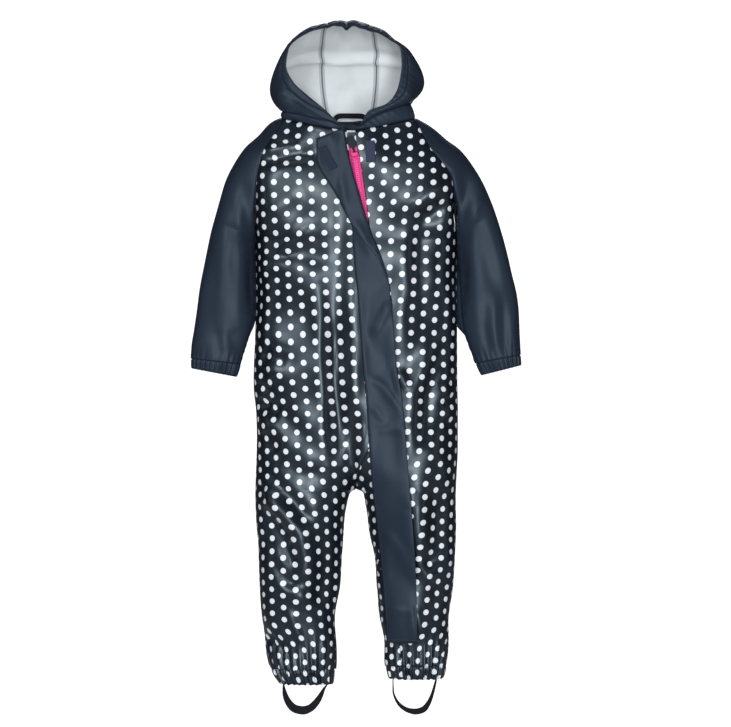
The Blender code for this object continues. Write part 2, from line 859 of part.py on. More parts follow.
def build_head(sheets):
    """Neckband and hood on the body's neck line."""
    line = neck_line(sheets)
    steps = np.linalg.norm(np.diff(line, axis=0), axis=1)
    shares = np.concatenate([[0], np.cumsum(steps)]) / steps.sum()
    tops = []
    for share in shares:
        row = HOOD_NECK.at(share)
        tops.append(point(row["x"], row["y"], row["z"]))
    band = Sheet("neckband", [tops, line], flipped=True)
    hood_steps = ([i / HOOD_ROWS for i in range(HOOD_ROWS + 1)], [1.0])
    cuts = np.array([hood_cut(share, hood_steps) for share in shares])
    grid = cuts.transpose(1, 0, 2)[::-1]
    left = int(np.argmin(np.abs(shares - HOOD_SEAM_LEFT)))
    right = int(np.argmin(np.abs(shares - HOOD_SEAM_RIGHT)))
    cloth = grid[1:]
    sheets["neckband"] = band
    sheets["hood_side_left"] = Sheet("hood_side_left", cloth[:, : left + 1], flipped=True)
    sheets["hood_centre"] = Sheet("hood_centre", cloth[:, left : right + 1], flipped=True)
    sheets["hood_side_right"] = Sheet("hood_side_right", cloth[:, right:], flipped=True)
    sheets["hood_hem"] = Sheet("hood_hem", grid[:2], flipped=True)


def tube_ring(points, count):
    """A closed ring of evenly spaced points through a loop."""
    loop = np.array(points + [points[0]])
    steps = np.linalg.norm(np.diff(loop, axis=0), axis=1)
    length = np.concatenate([[0], np.cumsum(steps)])
    marks = [length[-1] * i / count for i in range(count)]
    return np.array([[np.interp(m, length, loop[:, k]) for k in range(3)] for m in marks])


def leg_ring(z, side, count):
    """A leg section: from the inner seam round the front, the side and the back."""
    front = [bezier(level_half(z, side, FRONT), t / 12) for t in range(13)]
    back = [bezier(level_half(z, side, BACK), t / 12) for t in range(12, 0, -1)]
    return tube_ring(front + back[1:], count)


def casing(name, rings, waves, flipped, look):
    """An elastic casing: a gathered tube hanging clear of the panel above it."""
    strength = [0.2] + [1.0] * (len(rings) - 1)
    grid = gathered(np.array(rings), waves, 1.5, strength)
    sheet = Sheet(name, grid, closed=True, flipped=flipped)
    normals = unit(sheet.own_normals()[0])
    axis = unit(grid[1].mean(axis=0) - grid[0].mean(axis=0))
    normals[0] = unit(normals[0] - (normals[0] @ axis)[:, None] * axis)
    outer = sheet.grid + inset(sheet.grid, True)
    return wall_object(name, outer, outer - 1.8 * normals, look, True)


def clear_scene():
    for made in list(bpy.data.objects):
        bpy.data.objects.remove(made)
    for mesh in list(bpy.data.meshes):
        bpy.data.meshes.remove(mesh)


def surface_of(grids):
    """The faces of these grids, to lay pieces on."""
    vertices = []
    triangles = []
    for grid in grids:
        start = len(vertices)
        rows, columns = grid.shape[:2]
        vertices.extend(Vector(p) for p in grid.reshape(-1, 3))
        for i in range(rows - 1):
            for j in range(columns - 1):
                a = start + i * columns + j
                b, c, d = a + 1, a + columns + 1, a + columns
                triangles.append((a, d, c))
                triangles.append((a, c, b))
    return BVHTree.FromPolygons(vertices, triangles)


def front_surface(sheets):
    """The front's outer faces, with the zip's gap bridged."""
    left = sheets["front_left"].grid
    right = sheets["front_right"].grid
    inner = sheets["front_right_inner"].grid
    above = len(left) - len(inner)
    bridge = []
    for i in range(len(right)):
        edge = inner[i - above, -1] if i >= above else left[i, -1]
        bridge.append([edge, right[i, 0]])
    return surface_of([left, right, inner, sheets["neckband"].grid, np.array(bridge)])


def front_hit(surface, x, z):
    """Where the cloth is met from the front at x, z, and how squarely it faces forward."""
    hit = surface.ray_cast(Vector((x, -400, z)), Vector((0, 1, 0)))
    if hit[0] is None:
        return None
    return hit[0].y, max(abs(hit[1].y), 0.5)


def on_front(surface, x, z, lift, reach=0.0):
    """The point this far in front of the cloth at x, z, or of the cloth within reach of it."""
    best = None
    for dx in (-reach, 0, reach) if reach else (0, -4, 4):
        for dz in (-1.3 * reach, 0, 1.3 * reach) if reach else (0, -8, -16):
            hit = front_hit(surface, x + dx, z + dz)
            if hit is None:
                continue
            here = hit[0] - lift / hit[1]
            if best is None or (here < best if lift > 0 else here > best):
                best = here
            if not reach:
                return point(x, best, z)
    return point(x, best, z)


def zip_rows(top, bottom):
    heights = [top, GUARD_END + 0.5, GUARD_END - 0.5, -44, -62, -84, -104, -126, -147]
    heights += BODY_HEIGHTS
    return [z for z in heights if bottom + 3 < z <= top] + [bottom]


def build_zip(surface):
    """Tape with its closed chain, seen in the gap between the fronts."""
    offsets = (-12, -2.6, -2.4, 2.4, 2.6, 12)
    raised = (0, 0, CHAIN_HEIGHT, CHAIN_HEIGHT, 0, 0)
    front = []
    back = []
    for z in zip_rows(-13, ZIP_END):
        x = ZIP.at(z)["x"]
        front_row = []
        back_row = []
        for offset, height in zip(offsets, raised):
            base = on_front(surface, x + offset, z, -(WALL + CLEAR), 4.0)
            if z > GUARD_END:
                height = 0
            front_row.append(base - point(0, height, 0))
            back_row.append(base + point(0, 1.2, 0))
        front.append(front_row)
        back.append(back_row)
    wall_object("zip_tape", np.array(front), np.array(back), PINK)


def laid_patch(name, corners, surface, lift, thickness, look, columns=3, rows=4):
    """A flat patch between four corners (x, z), laid on the cloth."""
    top_left, top_right, bottom_right, bottom_left = [np.array(c, float) for c in corners]
    outer = []
    inner = []
    for i in range(rows + 1):
        v = i / rows
        start = top_left * (1 - v) + bottom_left * v
        end = top_right * (1 - v) + bottom_right * v
        outer_row = []
        inner_row = []
        for j in range(columns + 1):
            x, z = start + (end - start) * j / columns
            outer_row.append(on_front(surface, x, z, lift + thickness))
            inner_row.append(on_front(surface, x, z, lift))
        outer.append(outer_row)
        inner.append(inner_row)
    return wall_object(name, np.array(outer), np.array(inner), look)


def flap_offset(length, run):
    """Sideways and outward travel of the flap's underside, this far from its sewn edge."""
    if length <= run:
        return length, 0.0
    around = (length - run) / FLAP_ROLL
    if around <= math.pi:
        return run + FLAP_ROLL * math.sin(around), FLAP_ROLL * (1 - math.cos(around))
    beyond = length - run - math.pi * FLAP_ROLL
    return run - beyond, 2 * FLAP_ROLL


def flap_point(surface, z, length):
    """A point of the storm flap's underside."""
    row = ZIP.at(z)
    along, rise = flap_offset(length, row["run"])
    x = row["attach"] + along
    folded = max(0.0, length - row["run"] - 0.5 * math.pi * FLAP_ROLL)
    height = z - row["drop"] * folded
    past_edge = max(0.0, -along - 2.0)
    rest = FLAP_THICKNESS + 0.6
    if rise > rest and past_edge > 0:
        rise = rest + (rise - rest) * math.exp(-((past_edge / 9.0) ** 2))
    return on_front(surface, x, height, CLEAR + rise, 6.0)


def build_flap(surface):
    """The storm flap: closed below the chest, rolled open toward its top."""
    heights = [-4, -14, -26, -40, -56, -74, -92, -110, -128, -144, -158, -170, -181, -192]
    heights += [-203, -212]
    heights += [z for z in zip_rows(-212, FLAP_END) if z < -214]
    under = []
    for z in heights:
        row = ZIP.at(z)
        width = row["width"]
        flat = min(row["run"], 0.7 * width)
        left_over = width - flat
        curl = math.pi * FLAP_ROLL
        if left_over > curl + 4:
            marks = [flat + curl * k / 5 for k in range(6)]
            marks += [flat + curl + (left_over - curl) * k / 3 for k in range(1, 4)]
        else:
            marks = [flat + left_over * k / 8 for k in range(9)]
        marks = [0, 0.5 * marks[0]] + marks if flat > 1 else [0, 0.35, 0.7] + marks[1:]
        under.append([flap_point(surface, z, mark) for mark in marks])
    sheet = Sheet("storm_flap", under)
    normals = unit(sheet.own_normals()[0])
    outer = sheet.grid + FLAP_THICKNESS * normals
    wall_object("storm_flap", outer, sheet.grid, PLAIN)
    return sheet.grid


def ribbon(name, path, across, half_width, half_thickness, look):
    """A flat band along a path; across gives its width direction at each point."""
    path = np.array(path, dtype=float)
    across = unit(np.array(across, dtype=float))
    along = unit(np.gradient(path, axis=0))
    facing = unit(np.cross(along, across))
    first = np.stack([path - across * half_width, path + across * half_width], axis=1)
    lift = (facing * half_thickness)[:, None, :]
    return wall_object(name, first + lift, first - lift, look)


def build_stirrup(name, table):
    """An elastic strap under one leg, turned to show its face at the bottom."""
    path = []
    turns = []
    for i in range(23):
        row = table.at(i / 2)
        path.append(point(row["x"], 0, row["z"]))
        turns.append(math.radians(row["turn"]))
    along = unit(np.gradient(np.array(path), axis=0))
    sideways = np.cross(along, point(0, -1, 0))
    turns = np.array(turns)[:, None]
    across = point(0, 1, 0) * np.cos(turns) + sideways * np.sin(turns)
    return ribbon(name, path, across, 5.6, 0.7, ELASTIC)


def box_part(size, centre):
    """Corners and faces of a box for joining."""
    made = bmesh.new()
    bmesh.ops.create_cube(made, size=1.0)
    for v in made.verts:
        v.co = Vector((v.co.x * size[0], v.co.y * size[1], v.co.z * size[2])) + Vector(centre)
    return made


def prism(profile, x_low, x_high):
    """A profile in the Y-Z plane, given as an outer loop, drawn out along X."""
    made = bmesh.new()
    low = [made.verts.new((x_low, y, z)) for y, z in profile]
    high = [made.verts.new((x_high, y, z)) for y, z in profile]
    made.faces.new(low[::-1])
    made.faces.new(high)
    count = len(profile)
    for i in range(count):
        j = (i + 1) % count
        made.faces.new((low[i], low[j], high[j], high[i]))
    bmesh.ops.recalc_face_normals(made, faces=made.faces)
    return made


def ring_profile(radius, sides, centre=(0, 0), start=0.0):
    points = []
    for i in range(sides):
        angle = start + 2 * math.pi * i / sides
        points.append((centre[0] + radius * math.cos(angle), centre[1] + radius * math.sin(angle)))
    return points


def join_solids(name, shapes, cuts, frame, look, metallic):
    """Union of shapes less the cuts, in the frame of a placement matrix, origin on the hinge."""
    base = None
    scale = Matrix.Diagonal((MM, MM, MM, 1.0))
    helpers = []
    for index, (shape, operation) in enumerate(
        [(s, "UNION") for s in shapes] + [(c, "DIFFERENCE") for c in cuts]
    ):
        mesh = bpy.data.meshes.new(f"{name}_{index}")
        shape.transform(scale)
        shape.to_mesh(mesh)
        shape.free()
        made = bpy.data.objects.new(mesh.name, mesh)
        bpy.context.scene.collection.objects.link(made)
        if base is None:
            base = made
            continue
        modifier = base.modifiers.new(f"join_{index}", "BOOLEAN")
        modifier.operation = operation
        modifier.solver = "EXACT"
        modifier.object = made
        helpers.append(made)
    bpy.context.view_layer.update()
    graph = bpy.context.evaluated_depsgraph_get()
    joined = bpy.data.meshes.new_from_object(base.evaluated_get(graph))
    base.modifiers.clear()
    for made in [base] + helpers:
        bpy.data.objects.remove(made)
    joined.materials.clear()
    colour, roughness = look
    joined.materials.append(material(name + "_metal", colour, roughness, metallic))
    result = bpy.data.objects.new(name, joined)
    placed = frame.copy()
    placed.translation = frame.translation * MM
    joined.transform(placed.to_3x3().to_4x4())
    result.location = placed.translation
    bpy.context.scene.collection.objects.link(result)
    return result


PIN_RADIUS = 0.8
EYE_HOLE = 1.4
EYE_RADIUS = 2.3
PIN_HEIGHT = 2.8


def slider_frame(surface):
    """Placement of the zip slider: origin on its pin, Z up the zip, Y into the cloth."""
    z = -34.5
    lift = CHAIN_HEIGHT + 2 * SEAM_GAP - (WALL + CLEAR)
    face = Vector(on_front(surface, ZIP.at(z)["x"], z, lift, 4.0))
    above = Vector(on_front(surface, ZIP.at(z + 8)["x"], z + 8, lift, 4.0))
    below = Vector(on_front(surface, ZIP.at(z - 8)["x"], z - 8, lift, 4.0))
    up = (above - below).normalized()
    across = Vector((0, 1, 0)).cross(up).normalized()
    inward = up.cross(across)
    frame = Matrix((across, inward, up)).transposed().to_4x4()
    frame.translation = face - inward * (2.2 + PIN_HEIGHT)
    return frame


def build_slider(frame):
    plate = [(-4.6, 4.0), (-3.0, 6.5), (3.0, 6.5), (4.6, 4.0), (3.4, -6.5), (-3.4, -6.5)]
    made = bmesh.new()
    low = [made.verts.new((x, PIN_HEIGHT, z)) for x, z in plate]
    high = [made.verts.new((x, PIN_HEIGHT + 2.2, z)) for x, z in plate]
    made.faces.new(low)
    made.faces.new(high[::-1])
    for i in range(6):
        j = (i + 1) % 6
        made.faces.new((low[i], high[i], high[j], low[j]))
    bmesh.ops.recalc_face_normals(made, faces=made.faces)
    shapes = [made]
    for side in (-1, 1):
        cheek = [(PIN_HEIGHT + 0.6, -1.7), (PIN_HEIGHT + 0.6, 1.7), (0, 1.7), (-1.3, 0.9)]
        cheek += [(-1.3, -0.9), (0, -1.7)]
        shapes.append(prism(cheek, side * 2.2, side * 3.2))
    shapes.append(prism(ring_profile(PIN_RADIUS, 16), -2.6, 2.6))
    return join_solids("zip_slider", shapes, [], frame, PINK, 0.0)


def build_pull(frame, lean):
    """The pull tab on the pin, pointing up and a little to the left."""
    turned = frame @ Matrix.Rotation(math.radians(lean), 4, "Y")
    eye = prism(ring_profile(EYE_RADIUS, 20, start=math.pi / 20), -1.3, 1.3)
    neck = box_part((2.5, 1.5, 4.0), (0, 0, 3.6))
    outline = [(-1.5, 3.2), (-4.2, 5.4), (-4.2, 18.5), (-2.6, 20.5), (2.6, 20.5), (4.2, 18.5)]
    outline += [(4.2, 5.4), (1.5, 3.2)]
    tab = bmesh.new()
    low = [tab.verts.new((x, -0.75, z)) for x, z in outline]
    high = [tab.verts.new((x, 0.75, z)) for x, z in outline]
    tab.faces.new(low)
    tab.faces.new(high[::-1])
    count = len(outline)
    for i in range(count):
        j = (i + 1) % count
        tab.faces.new((low[i], high[i], high[j], low[j]))
    bmesh.ops.recalc_face_normals(tab, faces=tab.faces)
    hole = prism(ring_profile(EYE_HOLE, 16), -2.0, 2.0)
    return join_solids("zip_pull", [eye, neck, tab], [hole], turned, METAL_GREY, 0.3)


def build_hanger_loop():
    """A tape loop standing on the back neck seam, inside the hood."""
    path = [
        (-27.5, 36.3, 11.0),
        (-26.5, 37.1, 14.0),
        (-23, 38.3, 16.6),
        (-17, 39.5, 17.0),
        (-8, 40.3, 17.0),
        (2, 39.7, 17.0),
        (8, 38.5, 16.6),
        (11.5, 37.3, 14.0),
        (12.5, 36.5, 11.0),
    ]
    path = np.array(path, dtype=float)
    along = unit(np.gradient(path, axis=0))
    across = np.cross(along, point(0, 1, 0))
    return ribbon("hanger_loop", path, across, 3.3, 0.6, ELASTIC)


def main():
    clear_scene()
    sheets = build_body()
    build_head(sheets)
    crease(list(sheets.values()))
    normals = shared_normals(list(sheets.values()))
    dotted = ("front_left", "front_right", "front_right_inner", "back_left", "back_right")
    for name, sheet in sheets.items():
        look = DOTTED if name in dotted else PLAIN
        sheet_object(sheet, normals[name], look)
    for side, name in ((LEFT, "left"), (RIGHT, "right")):
        rings = []
        for ring in (14.02, 14.35, 14.7, 15):
            rings.append(tube_ring(sleeve_ring(side, ring, 10)[:-1], 54))
        casing("cuff_" + name, rings, 18, side == LEFT, PLAIN)
        top = LAST_HEIGHT[side] - SEAM_GAP
        end = HEM_END[side]
        rings = [leg_ring(top + (end - top) * t, side, 48) for t in (0, 0.35, 0.7, 1.0)]
        casing("hem_" + name, rings, 16, side == LEFT, DOTTED)
    surface = front_surface(sheets)
    build_zip(surface)
    turned_up = surface_of([build_flap(surface)])
    corners = ((-48.3, -30.6), (-38.1, -27), (-23.7, -54.5), (-33, -59.5))
    laid_patch("flap_patch", corners, turned_up, CLEAR, 1.2, PATCH_DARK)
    hem = GUARD_END + SEAM_GAP
    corners = ((-11.4, -10), (-0.6, -10), (1.9, hem), (-8.6, hem))
    laid_patch("zip_guard", corners, surface, -1.7, 1.2, DOTTED)
    corners = ((10.5, -14), (24.3, -14), (24.5, -45), (10.8, -45))
    laid_patch("body_patch", corners, surface, CLEAR, 1.2, PATCH_BLUE)
    frame = slider_frame(surface)
    build_slider(frame)
    build_pull(frame, -7)
    build_hanger_loop()
    build_stirrup("stirrup_left", STRAP_LEFT)
    build_stirrup("stirrup_right", STRAP_RIGHT)


main()
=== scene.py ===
"""Looks of the child's hooded rain suit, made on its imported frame.

Sizes are in millimetres and are turned to metres when a mesh is made. +X is the viewer's right, the
front faces -Y, +Z is up. Left and right are the viewer's left and right.
"""

import math

import bpy
import numpy as np
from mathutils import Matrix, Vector
from mathutils.bvhtree import BVHTree


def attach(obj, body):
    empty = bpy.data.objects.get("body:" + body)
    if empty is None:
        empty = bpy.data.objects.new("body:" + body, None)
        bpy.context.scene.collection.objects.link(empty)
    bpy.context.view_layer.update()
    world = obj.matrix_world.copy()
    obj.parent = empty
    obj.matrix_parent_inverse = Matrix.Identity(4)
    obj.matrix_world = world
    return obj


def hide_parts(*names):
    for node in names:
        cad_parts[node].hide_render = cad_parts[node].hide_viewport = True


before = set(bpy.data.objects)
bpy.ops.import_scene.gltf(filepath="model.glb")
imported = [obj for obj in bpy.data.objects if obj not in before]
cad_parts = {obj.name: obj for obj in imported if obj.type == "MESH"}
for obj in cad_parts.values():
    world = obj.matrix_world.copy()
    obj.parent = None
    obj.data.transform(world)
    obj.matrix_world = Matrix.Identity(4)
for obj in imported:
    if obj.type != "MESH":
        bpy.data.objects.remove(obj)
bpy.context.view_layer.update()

MM = 0.001
CLOTH = 1.0
CLEAR = 0.5

FRONT = -1
BACK = 1
LEFT = -1
RIGHT = 1
WORD = {FRONT: "front", BACK: "back"}
SIDE_WORD = {LEFT: "left", RIGHT: "right"}

UNDERARM_RING = 7
FRONT_SEAM_START = -400
CROTCH = -470
UNDERARM_HEIGHT = -147
ZIP_END = -645
ZIP_HALF_GAP = 6.5
LEG_END = {LEFT: -704, RIGHT: -700}
HEM_END = {LEFT: -724, RIGHT: -717}

# The print: pitch of its columns, pitch of the dots down a column, and the dots' diameter.
COLUMN_PITCH = 16.07
DOT_PITCH = 16.59
DOT_SIZE = 7.5

# The share of a row that stands for its middle, on the right half.
MIDDLE = 1e-9
# Level rows stand at least this far apart from the rows that must be kept.
CLOSEST_ROWS = 0.7
# Rows below the neck that take the print's place from the row under them.
NECK_ROWS = 10
# How much fuller the printed cloth is at the ankle, where it is gathered.
ANKLE_GATHER_START = -636
ANKLE_FULLNESS = 0.35
LEG_GATHER_DEPTH = 2.3
CUFF_RING = 14.0
CASING_WALL = 1.5


class Table:
    """Rows of sizes under column names, read smoothly between the rows."""

    def __init__(self, names, *rows):
        self.names = names.split()
        self.rows = np.array(sorted(rows), dtype=float)
        keys = self.rows[:, 0]
        values = self.rows[:, 1:]
        slopes = np.diff(values, axis=0) / np.diff(keys)[:, None]
        self.tangents = np.zeros_like(values)
        self.tangents[0] = slopes[0]
        self.tangents[-1] = slopes[-1]
        before = slopes[:-1]
        after = slopes[1:]
        same_way = before * after > 0
        total = np.where(same_way, before + after, 1.0)
        self.tangents[1:-1] = np.where(same_way, 2 * before * after / total, 0.0)

    def at(self, key):
        """All columns at this key, as a dictionary of numbers."""
        keys = self.rows[:, 0]
        key = min(max(key, keys[0]), keys[-1])
        i = int(min(max(np.searchsorted(keys, key) - 1, 0), len(keys) - 2))
        step = keys[i + 1] - keys[i]
        t = (key - keys[i]) / step
        value = (
            (2 * t**3 - 3 * t**2 + 1) * self.rows[i, 1:]
            + (t**3 - 2 * t**2 + t) * step * self.tangents[i]
            + (3 * t**2 - 2 * t**3) * self.rows[i + 1, 1:]
            + (t**3 - t**2) * step * self.tangents[i + 1]
        )
        return dict(zip(self.names[1:], value))

    def spot(self, key, word):
        """The point in the columns word_x, word_y and word_z."""
        row = self.at(key)
        return point(*(row[f"{word}_{axis}"] for axis in "xyz"))


def xyz_columns(*words):
    """Column names for the x, y and z of each word."""
    return " ".join(f"{word}_{axis}" for word in words for axis in "xyz")


# Side and inner edges of the body and legs at each height.
OUTLINE = Table(
    "z left_side left_inner right_inner right_side",
    (-147, -130, 0, 0, 130),
    (-253, -131, 0, 0, 131.5),
    (-338, -133, 0, 0, 132),
    (-373, -130, 0, 0, 132.5),
    (-415, -128.8, 0, 0, 132.5),
    (-456, -130.6, 0, 0, 130.8),
    (-466, -130.9, 0, 0, 130.3),
    (-470, -131, 0, 0, 130),
    (-472.5, -131, -5, 5.5, 129.8),
    (-476, -131, -8.5, 9.5, 129.7),
    (-487, -130.7, -11.4, 12.5, 129.6),
    (-517, -129.3, -14.6, 18.5, 130.5),
    (-545, -126.8, -17, 21, 129.4),
    (-594, -125.5, -22, 26, 126),
    (-636, -123, -25, 32, 122.5),
    (-667, -119, -26.5, 35.5, 120),
    (-693, -113.5, -28, 39, 117.5),
    (-708, -108, -29.5, 42, 115),
    (-725, -98, -31, 46, 109),
)

# Depth of the front and back at each height. Lean turns the row's middle from flat across (0) to
# pointing straight out of the crotch (90); reach and round are the row's two curve handles.
DEPTH = Table(
    "z front front_lean front_reach front_round back back_lean back_reach back_round",
    (-147, 56, 0, 84, 38, 60, 0, 84, 42),
    (-200, 56, 0, 86, 40, 60, 0, 84, 44),
    (-300, 55, 0, 86, 42, 62, 0, 84, 46),
    (-380, 54, 4, 82, 46, 62, 4, 80, 52),
    (-410, 50, 14, 74, 50, 58, 14, 74, 56),
    (-440, 38, 38, 64, 55, 46, 38, 66, 61),
    (-458, 20, 58, 67, 62.5, 25, 58, 70.5, 68),
    (-466, 7, 67, 73.9, 66.5, 9, 67, 77.7, 72.5),
    (-470, 0, 72, 78.9, 69.5, 0, 72, 83.6, 75),
    (-476, 0, 84, 72.9, 69.5, 0, 84, 77.9, 75),
    (-487, 0, 90, 70.5, 69.5, 0, 90, 75.5, 75),
    (-520, 0, 90, 66, 66, 0, 90, 71, 71),
    (-560, 0, 90, 60, 60, 0, 90, 65, 65),
    (-640, 0, 90, 50, 50, 0, 90, 54, 54),
    (-700, 0, 90, 40, 40, 0, 90, 43, 43),
    (-725, 0, 90, 32, 32, 0, 90, 34, 34),
)

# Yoke rows, 0 at the neck to 7 at the underarm. Centre is the middle of the row, the seams are the
# raglan seams, turn is how far the row has swung round toward the side where it meets the seam.
YOKE_CENTRE = Table(
    "ring x front_y front_z back_y back_z turn reach round",
    (0, -8, -50, -8, 41, -3.3, 22, 36, 24),
    (1, -6, -52, -28, 50, -22, 28, 44, 26),
    (2, -5, -54, -46, 55, -42, 36, 54, 28),
    (3, -4, -55, -64, 57, -62, 46, 64, 30),
    (4, -3, -56, -84, 58, -84, 58, 72, 32),
    (5, -2, -56, -104, 59, -105, 70, 78, 34),
    (6, -1, -56, -126, 60, -126, 81, 82, 36),
    (7, 0, -56, -147, 60, -147, 90, 84, 38),
)

RAGLAN = Table(
    "ring " + xyz_columns("left_front", "right_front", "left_back", "right_back"),
    (0, -93.6, -28, 8.5, 76.5, -28, 9.5, -91, 21, 8, 75, 21, 10),
    (1, -104, -35, -7, 85, -34, -10, -101, 32, -6, 84, 32, -8),
    (2, -115, -40, -23, 97, -40, -29, -112, 38, -23, 96, 38, -27),
    (3, -124, -42.5, -44, 111, -43, -47, -121, 41, -44, 109, 41, -47),
    (4, -128.5, -42, -73, 124, -43, -69, -127, 41, -73, 121, 41, -71),
    (5, -129.5, -36, -103, 127.5, -37, -99, -129, 36, -103, 126.5, 36, -100),
    (6, -130, -22, -130, 129, -23, -128, -130, 23, -129, 129, 23, -128),
    (7, -130, 0, -147, 130, 0, -147, -130, 0, -147, 130, 0, -147),
)

# Sleeve rings, 0 at the neck, 7 at the underarm, then down to the wrist. Top is the outer line and
# under the inner line; spread, bulge and roll shape the cloth between a raglan seam and the top.
SLEEVE = Table(
    "ring left_top_x left_top_z left_under_x left_under_z right_top_x right_top_z right_under_x "
    "right_under_z top_y under_y spread bulge roll",
    (0, -95, 10.5, -94, 9, 78, 12, 77, 10, -4, -4, 0.35, 0, 13),
    (1, -111, 2.5, -104, -7, 94, 2.5, 86, -10, -3, -3, 0.33, 2, 17),
    (2, -128, -12, -116, -23, 111, -8, 98, -29, -3, -3, 0.3, 4, 21),
    (3, -145, -28, -125, -44, 129, -24, 112, -47, -4, -4, 0.27, 7, 25),
    (4, -159, -51, -129, -73, 144, -41, 124, -69, -5, -5, 0.23, 11, 29),
    (5, -170, -74, -130, -103, 158, -62, 128, -99, -6, -6, 0.17, 17, 33),
    (6, -178, -98, -130, -130, 170, -86, 130, -128, -7, -7, 0.09, 27, 37),
    (7, -184, -122, -130, -147, 180, -111, 130, -147, -8, 0, 0, 41, 40),
    (8, -189.5, -144, -130.9, -163, 187.5, -134, 131.4, -165, -9, -4, 0, 39, 39),
    (9, -196, -172, -130.8, -187, 195, -162, 133.4, -190, -11, -8, 0, 36, 37),
    (10, -201, -201, -130.9, -213, 201.5, -190, 135.2, -217, -12, -11, 0, 34, 35),
    (11, -205.5, -233, -131.2, -243, 208, -220, 136.5, -245, -14, -14, 0, 32, 33),
    (12, -210, -263, -137.4, -270, 211.5, -248, 140.5, -268, -15, -15, 0, 30, 31),
    (13, -213.3, -287, -144.6, -293, 213, -275, 148, -290, -16, -16, 0, 27, 28),
    (14, -213.5, -301, -149.5, -308, 213.3, -296, 155.5, -307, -16, -16, 0, 25, 25),
    (15, -213.3, -314, -155, -325, 214.2, -310, 163, -323, -16, -16, 0, 22, 22),
)

# The hood, by share of the way along its neck seam from the left front corner round the back. Each
# cut of the hood runs from the neckband's top edge by a rise and a crown handle to the face edge.
HOOD = Table(
    "share " + xyz_columns("neck", "rise", "crown", "face"),
    (0, -17, -49, -3.5, -20, -49.5, -1, -23, -50, 2, -26, -50, 6),
    (0.04, -31, -48, 4, -33, -49, 9, -36, -49.5, 14, -40, -49.5, 19.5),
    (0.12, -64, -42, 11.5, -70, -45, 20, -67, -48, 29, -61, -47, 37),
    (0.193, -93.5, -28, 17.5, -105, -33, 30, -100, -40, 50, -81, -43, 56),
    (0.25, -95.5, -3, 20, -117, 6, 36, -121, -14, 64, -90.5, -39, 77),
    (0.31, -91, 22, 18, -112, 36, 50, -106, -14, 96, -87, -41, 99),
    (0.4, -52, 36, 12, -76, 68, 50, -68, 8, 158, -48, -46, 123.5),
    (0.502, -9, 41, 9, -8, 84, 54, -8, 16, 173, -11, -48, 126.5),
    (0.6, 34, 37, 13, 51, 69, 52, 42, 12, 152, 27, -46, 119.5),
    (0.65, 52, 31, 19, 69, 54, 54, 62, -3, 122, 43, -44, 110.5),
    (0.7, 69, 22, 26, 86, 38, 58, 83, -17, 101, 57.5, -42, 99),
    (0.76, 71, -3, 30.5, 93, 8, 46, 100, -16, 70, 59.5, -39, 77),
    (0.816, 68, -27, 28, 76, -38, 33, 64, -44, 44.5, 52.5, -43, 44),
    (0.88, 44, -42, 19, 46, -45, 22, 43, -47.5, 25, 39, -48, 27),
    (0.95, 18, -48, 7, 18, -49, 10, 17.5, -50, 14, 17, -50.5, 18),
    (1, 4.3, -50, -3, 6, -50.5, 0, 8, -51, 4, 9.5, -51, 7),
)
HOOD_HEM_WIDTH = 11
HOOD_SEAM_LEFT = 0.438
HOOD_SEAM_RIGHT = 0.565

# The zip's centre line, and the storm flap: where it is sewn, how far it lies flat before rolling
# back, its width, and how much each row drops along the part that is folded open.
ZIP = Table(
    "z x attach run width drop",
    (-4, -6, -17.8, 0, 43, 0.36),
    (-30, -3, -15.4, 1.2, 47, 0.36),
    (-43, -1.3, -14.2, 3.2, 48, 0.36),
    (-62, 1.4, -12.3, 5.8, 45, 0.33),
    (-89, 5.3, -9.5, 11.2, 44.5, 0.28),
    (-114, 8.6, -6.5, 15.4, 45, 0.22),
    (-139, 11, -4.2, 21.4, 46, 0.14),
    (-165, 13, -3, 31, 46, 0.07),
    (-188, 14.5, -1.5, 37.5, 43, 0.02),
    (-212, 16, 1.5, 43, 42, 0),
    (-264, 19.5, 5.5, 60, 43, 0),
    (-311, 23.5, 9.5, 60, 43, 0),
    (-350, 27, 13, 60, 46, 0),
    (-434, 34, 18.5, 60, 48, 0),
    (-573, 46, 33, 60, 44, 0),
    (-670, 55, 41, 60, 39, 0),
    (-725, 60, 46, 60, 38, 0),
)
ZIP_TOP = -13
TOOTH_PITCH = 2.5
TOOTH_RADII = (1.25, 0.75, 0.8)
GUARD_END = -26.5
FLAP_THICKNESS = 2.0
FLAP_ROLL = 3.2
FLAP_END = -668

# The corners (x, z) of the two patches, from the top left one round to the right.
FLAP_PATCH_CORNERS = ((-48.3, -30.6), (-38.1, -27), (-23.7, -54.5), (-33, -59.5))
BODY_PATCH_CORNERS = ((12.3, -20.6), (24.8, -20.6), (25.0, -48), (12.6, -48))
PATCH_THICKNESS = 1.2

# The straps under the feet, along their length; turn is how far the face is turned to the front.
STRAP_LEFT = Table(
    "step x z turn",
    (0, -93.9, -713, 0),
    (1, -94, -725, 8),
    (2, -92.3, -737, 34),
    (3, -87.4, -748.5, 55),
    (4, -78.7, -756.6, 75),
    (5, -68.9, -758.4, 84),
    (6, -60.5, -756, 64),
    (7, -52.7, -749.2, 52),
    (8, -46.5, -740, 36),
    (9, -42, -731, 16),
    (10, -36.4, -722, 3),
    (11, -34.9, -713, 0),
)
STRAP_RIGHT = Table(
    "step x z turn",
    (0, 49.4, -706, 0),
    (1, 48.1, -718, 0),
    (2, 48.4, -733, 5),
    (3, 51.7, -743.6, 13),
    (4, 58.1, -752.4, 25),
    (5, 68, -758.3, 36),
    (6, 77.1, -760, 46),
    (7, 86.8, -757.6, 48),
    (8, 94, -749.3, 33),
    (9, 98.9, -738, 20),
    (10, 102.8, -724, 12),
    (11, 106, -710, 0),
)

